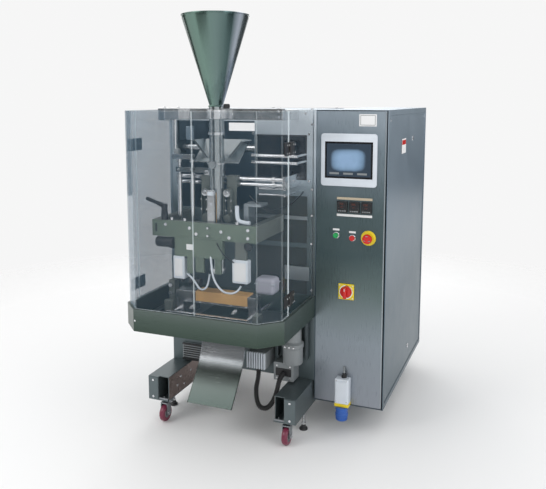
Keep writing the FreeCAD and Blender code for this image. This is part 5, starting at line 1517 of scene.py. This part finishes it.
class SEALER_OT_under_fittings(bpy.types.Operator):
    """Fan, finned supply, terminal box and the corrugated conduit between them"""
    bl_idname = "sealer.under_fittings"
    bl_label = "Fittings under the tray"

    def execute(self, context):
        slats = []
        for index in range(7):
            z = 0.218 + index * 0.0105
            slats.append(box((-0.436, -0.233, z), (-0.327, -0.229, z + 0.005), 0.0008))
        fan_frame = [box((-0.441, -0.236, 0.212), (-0.322, -0.228, 0.218), 0.001), box((-0.441, -0.236,
            0.284), (-0.322, -0.228, 0.290), 0.001)]
        block_low, block_high = Vector((-0.074, -0.320, 0.263)), Vector((0.013, -0.220, 0.334))
        fins = [box((block_low.x + 0.001 + index * 0.0111, block_low.y - 0.012, block_low.z),
            (block_low.x + 0.0066 + index * 0.0111, block_low.y, block_high.z),
            0.001) for index in range(8)]
        bars = [box((x, -0.250, 0.300), (x + 0.014, -0.226, 0.484), 0.002) for x in (0.026, 0.068, 0.160)]
        motor = lathe([(0, 0.290), (0.040, 0.290), (0.043, 0.296), (0.043, 0.360), (0.046, 0.364), (0.046,
            0.380), (0.036, 0.388), (0.036, 0.470), (0, 0.470)], (0.116, -0.272, 0), "Z", 48)
        motor_bolts = screws([(0.116 + 0.030 * math.cos(turn), -0.272 - 0.046, 0.372) for turn in (0.9,
            1.57, 2.24)], "Y", 0.004, 0.002)
        lamps = screws([(x, -0.290, z) for x in (0.05, 0.11) for z in (0.222, 0.276)], "Y", 0.004, 0.002)
        terminal = box((0.045, -0.2925, 0.232), (0.115, -0.2895, 0.266), 0.001)
        piece("under_tray_units", "machine", "steel", (refined("under_fittings", 0.002), "grey_paint"),
            (slats, "black"), (fan_frame, "black"), (fins, "white"), (bars, "dark_steel"), (motor,
            "grey_paint"), (motor_bolts, "bright"), (lamps, "bright"), (terminal, "black"),
            stands_for=["under_fittings"])
        self.conduit(context.scene.sealer_sizes.rib)
        return {"FINISHED"}

    def conduit(self, pitch):
        """Ribs along the conduit's route, on the points of its own smooth line."""
        route = [(0.080, -0.290, 0.244), (0.080, -0.336, 0.244), (0.074, -0.362, 0.168), (0.040, -0.370,
            0.110), (-0.007, -0.366, 0.112), (-0.030, -0.336, 0.174), (-0.030, -0.300, 0.216), (-0.030,
            -0.300, 0.263)]
        core = pipe(route, 0.0085)
        line = smooth_line(route)
        ribs = []
        travelled = 0.0
        for start, end in zip(line, line[1:]):
            travelled += (end - start).length
            if travelled < pitch:
                continue
            travelled = 0.0
            clear_selection()
            bpy.ops.mesh.primitive_torus_add(major_segments=20, minor_segments=6, major_radius=0.0088,
                minor_radius=0.0021, location=end)
            ring = bpy.context.object
            ring.rotation_euler = (end - start).to_track_quat("Z", "Y").to_euler()
            ribs.append(settle(ring))
            bpy.ops.object.shade_smooth()
        ends = [cylinder((0.080, -0.297, 0.244), 0.0125, 0.014, "Y", 0.0015, 8), cylinder((-0.030, -0.300,
            0.256), 0.0125, 0.014, "Z", 0.0015, 8)]
        piece("corrugated_conduit", "machine", "rubber", (core, "rubber"), (ribs, "rubber"), (ends,
            "black"), stands_for=["conduit"])


def smooth_line(route, resolution=64):
    """Points read from the smooth line through a route's points."""
    curve = bpy.data.curves.new("route", "CURVE")
    curve.dimensions = "3D"
    spline = curve.splines.new("NURBS")
    spline.points.add(len(route) - 1)
    for target, point in zip(spline.points, route):
        target.co = (*point, 1)
    spline.order_u = 3
    spline.use_endpoint_u = True
    spline.resolution_u = resolution
    line = bpy.data.objects.new("route", curve)
    bpy.context.collection.objects.link(line)
    bpy.context.view_layer.update()
    mesh = bpy.data.meshes.new_from_object(line)
    points = [vertex.co.copy() for vertex in mesh.vertices]
    bpy.data.objects.remove(line)
    return points


class SEALER_OT_film_station(bpy.types.Operator):
    """Film roll brackets, reel shaft and dancer arm behind the machine"""
    bl_idname = "sealer.film_station"
    bl_label = "Film station"

    def execute(self, context):
        low, high = corners("film_brackets")
        bolts = []
        for x, direction in ((low.x, "-X"), (high.x, "X")):
            bolts += screws([(x, 0.225, z) for z in (0.44, 0.56, 0.68)], direction, 0.006, 0.004)
        piece("film_arms", "machine", "steel", (refined("film_brackets", 0.0012), "steel"), (bolts,
            "bright"), stands_for=["film_brackets"])
        shaft_low, shaft_high = corners("reel_shaft")
        centre = (shaft_low + shaft_high) / 2
        cones = [lathe([(0.0127, 0), (0.030, 0.002), (0.030, 0.010), (0.016, 0.028), (0.0127, 0.028)], (x,
            centre.y, centre.z), "X", 40) for x in (shaft_low.x + 0.05, shaft_high.x - 0.10)]
        piece("reel_spindle", "reel_shaft", "bright_steel", (refined("reel_shaft", 0.001), "polished"),
            (cones, "black"), stands_for=["reel_shaft"])
        dancer_low, dancer_high = corners("dancer_arm")
        roller = [lathe([(0.0182, 0), (0.0198, 0.001), (0.0198, 0.005), (0.0182, 0.006)], (x,
            dancer_high.y - 0.018, 0.70), "X", 36) for x in (dancer_low.x + 0.03, dancer_high.x - 0.036)]
        piece("dancer_swing_arm", "dancer", "bright_steel", (refined("dancer_arm", 0.001), "bright"),
            (roller, "black"), stands_for=["dancer_arm"])
        return {"FINISHED"}


STEPS = (SEALER_OT_stage, SEALER_OT_feet, SEALER_OT_casters, SEALER_OT_levelling_feet, SEALER_OT_film_box,
    SEALER_OT_cabinet, SEALER_OT_cabinet_door, SEALER_OT_operator_panel, SEALER_OT_control_fittings,
    SEALER_OT_push_buttons, SEALER_OT_main_switch, SEALER_OT_power_inlet, SEALER_OT_tray, SEALER_OT_guard,
    SEALER_OT_funnel, SEALER_OT_column, SEALER_OT_crosshead, SEALER_OT_rods, SEALER_OT_belts,
    SEALER_OT_jaws, SEALER_OT_seal_fittings, SEALER_OT_chute, SEALER_OT_under_fittings,
    SEALER_OT_film_station,)


class SEALER_PT_pieces(bpy.types.Panel):
    """The pieces of the machine and their sizes and colours"""
    bl_idname = "SEALER_PT_pieces"
    bl_label = "Form fill sealer"
    bl_space_type = "VIEW_3D"
    bl_region_type = "UI"
    bl_category = "Sealer"

    def draw(self, context):
        for group in (context.scene.sealer_sizes, context.scene.sealer_colours):
            for name in group.bl_rna.properties.keys():
                if name not in ("rna_type", "name"):
                    self.layout.prop(group, name)
        for step in STEPS:
            self.layout.operator(step.bl_idname)


CLASSES = (SealerSizes, SealerColours) + STEPS + (SEALER_PT_pieces,)


def register():
    for item in CLASSES:
        bpy.utils.register_class(item)
    bpy.types.Scene.sealer_sizes = bpy.props.PointerProperty(type=SealerSizes)
    bpy.types.Scene.sealer_colours = bpy.props.PointerProperty(type=SealerColours)


def unregister():
    del bpy.types.Scene.sealer_colours
    del bpy.types.Scene.sealer_sizes
    for item in reversed(CLASSES):
        bpy.utils.unregister_class(item)


def main():
    """Makes every piece in order."""
    register()
    for step in STEPS:
        group, name = step.bl_idname.split(".")
        getattr(getattr(bpy.ops, group), name)()
    clear_selection()
    bpy.context.view_layer.update()


if __name__ == "__main__":
    main()
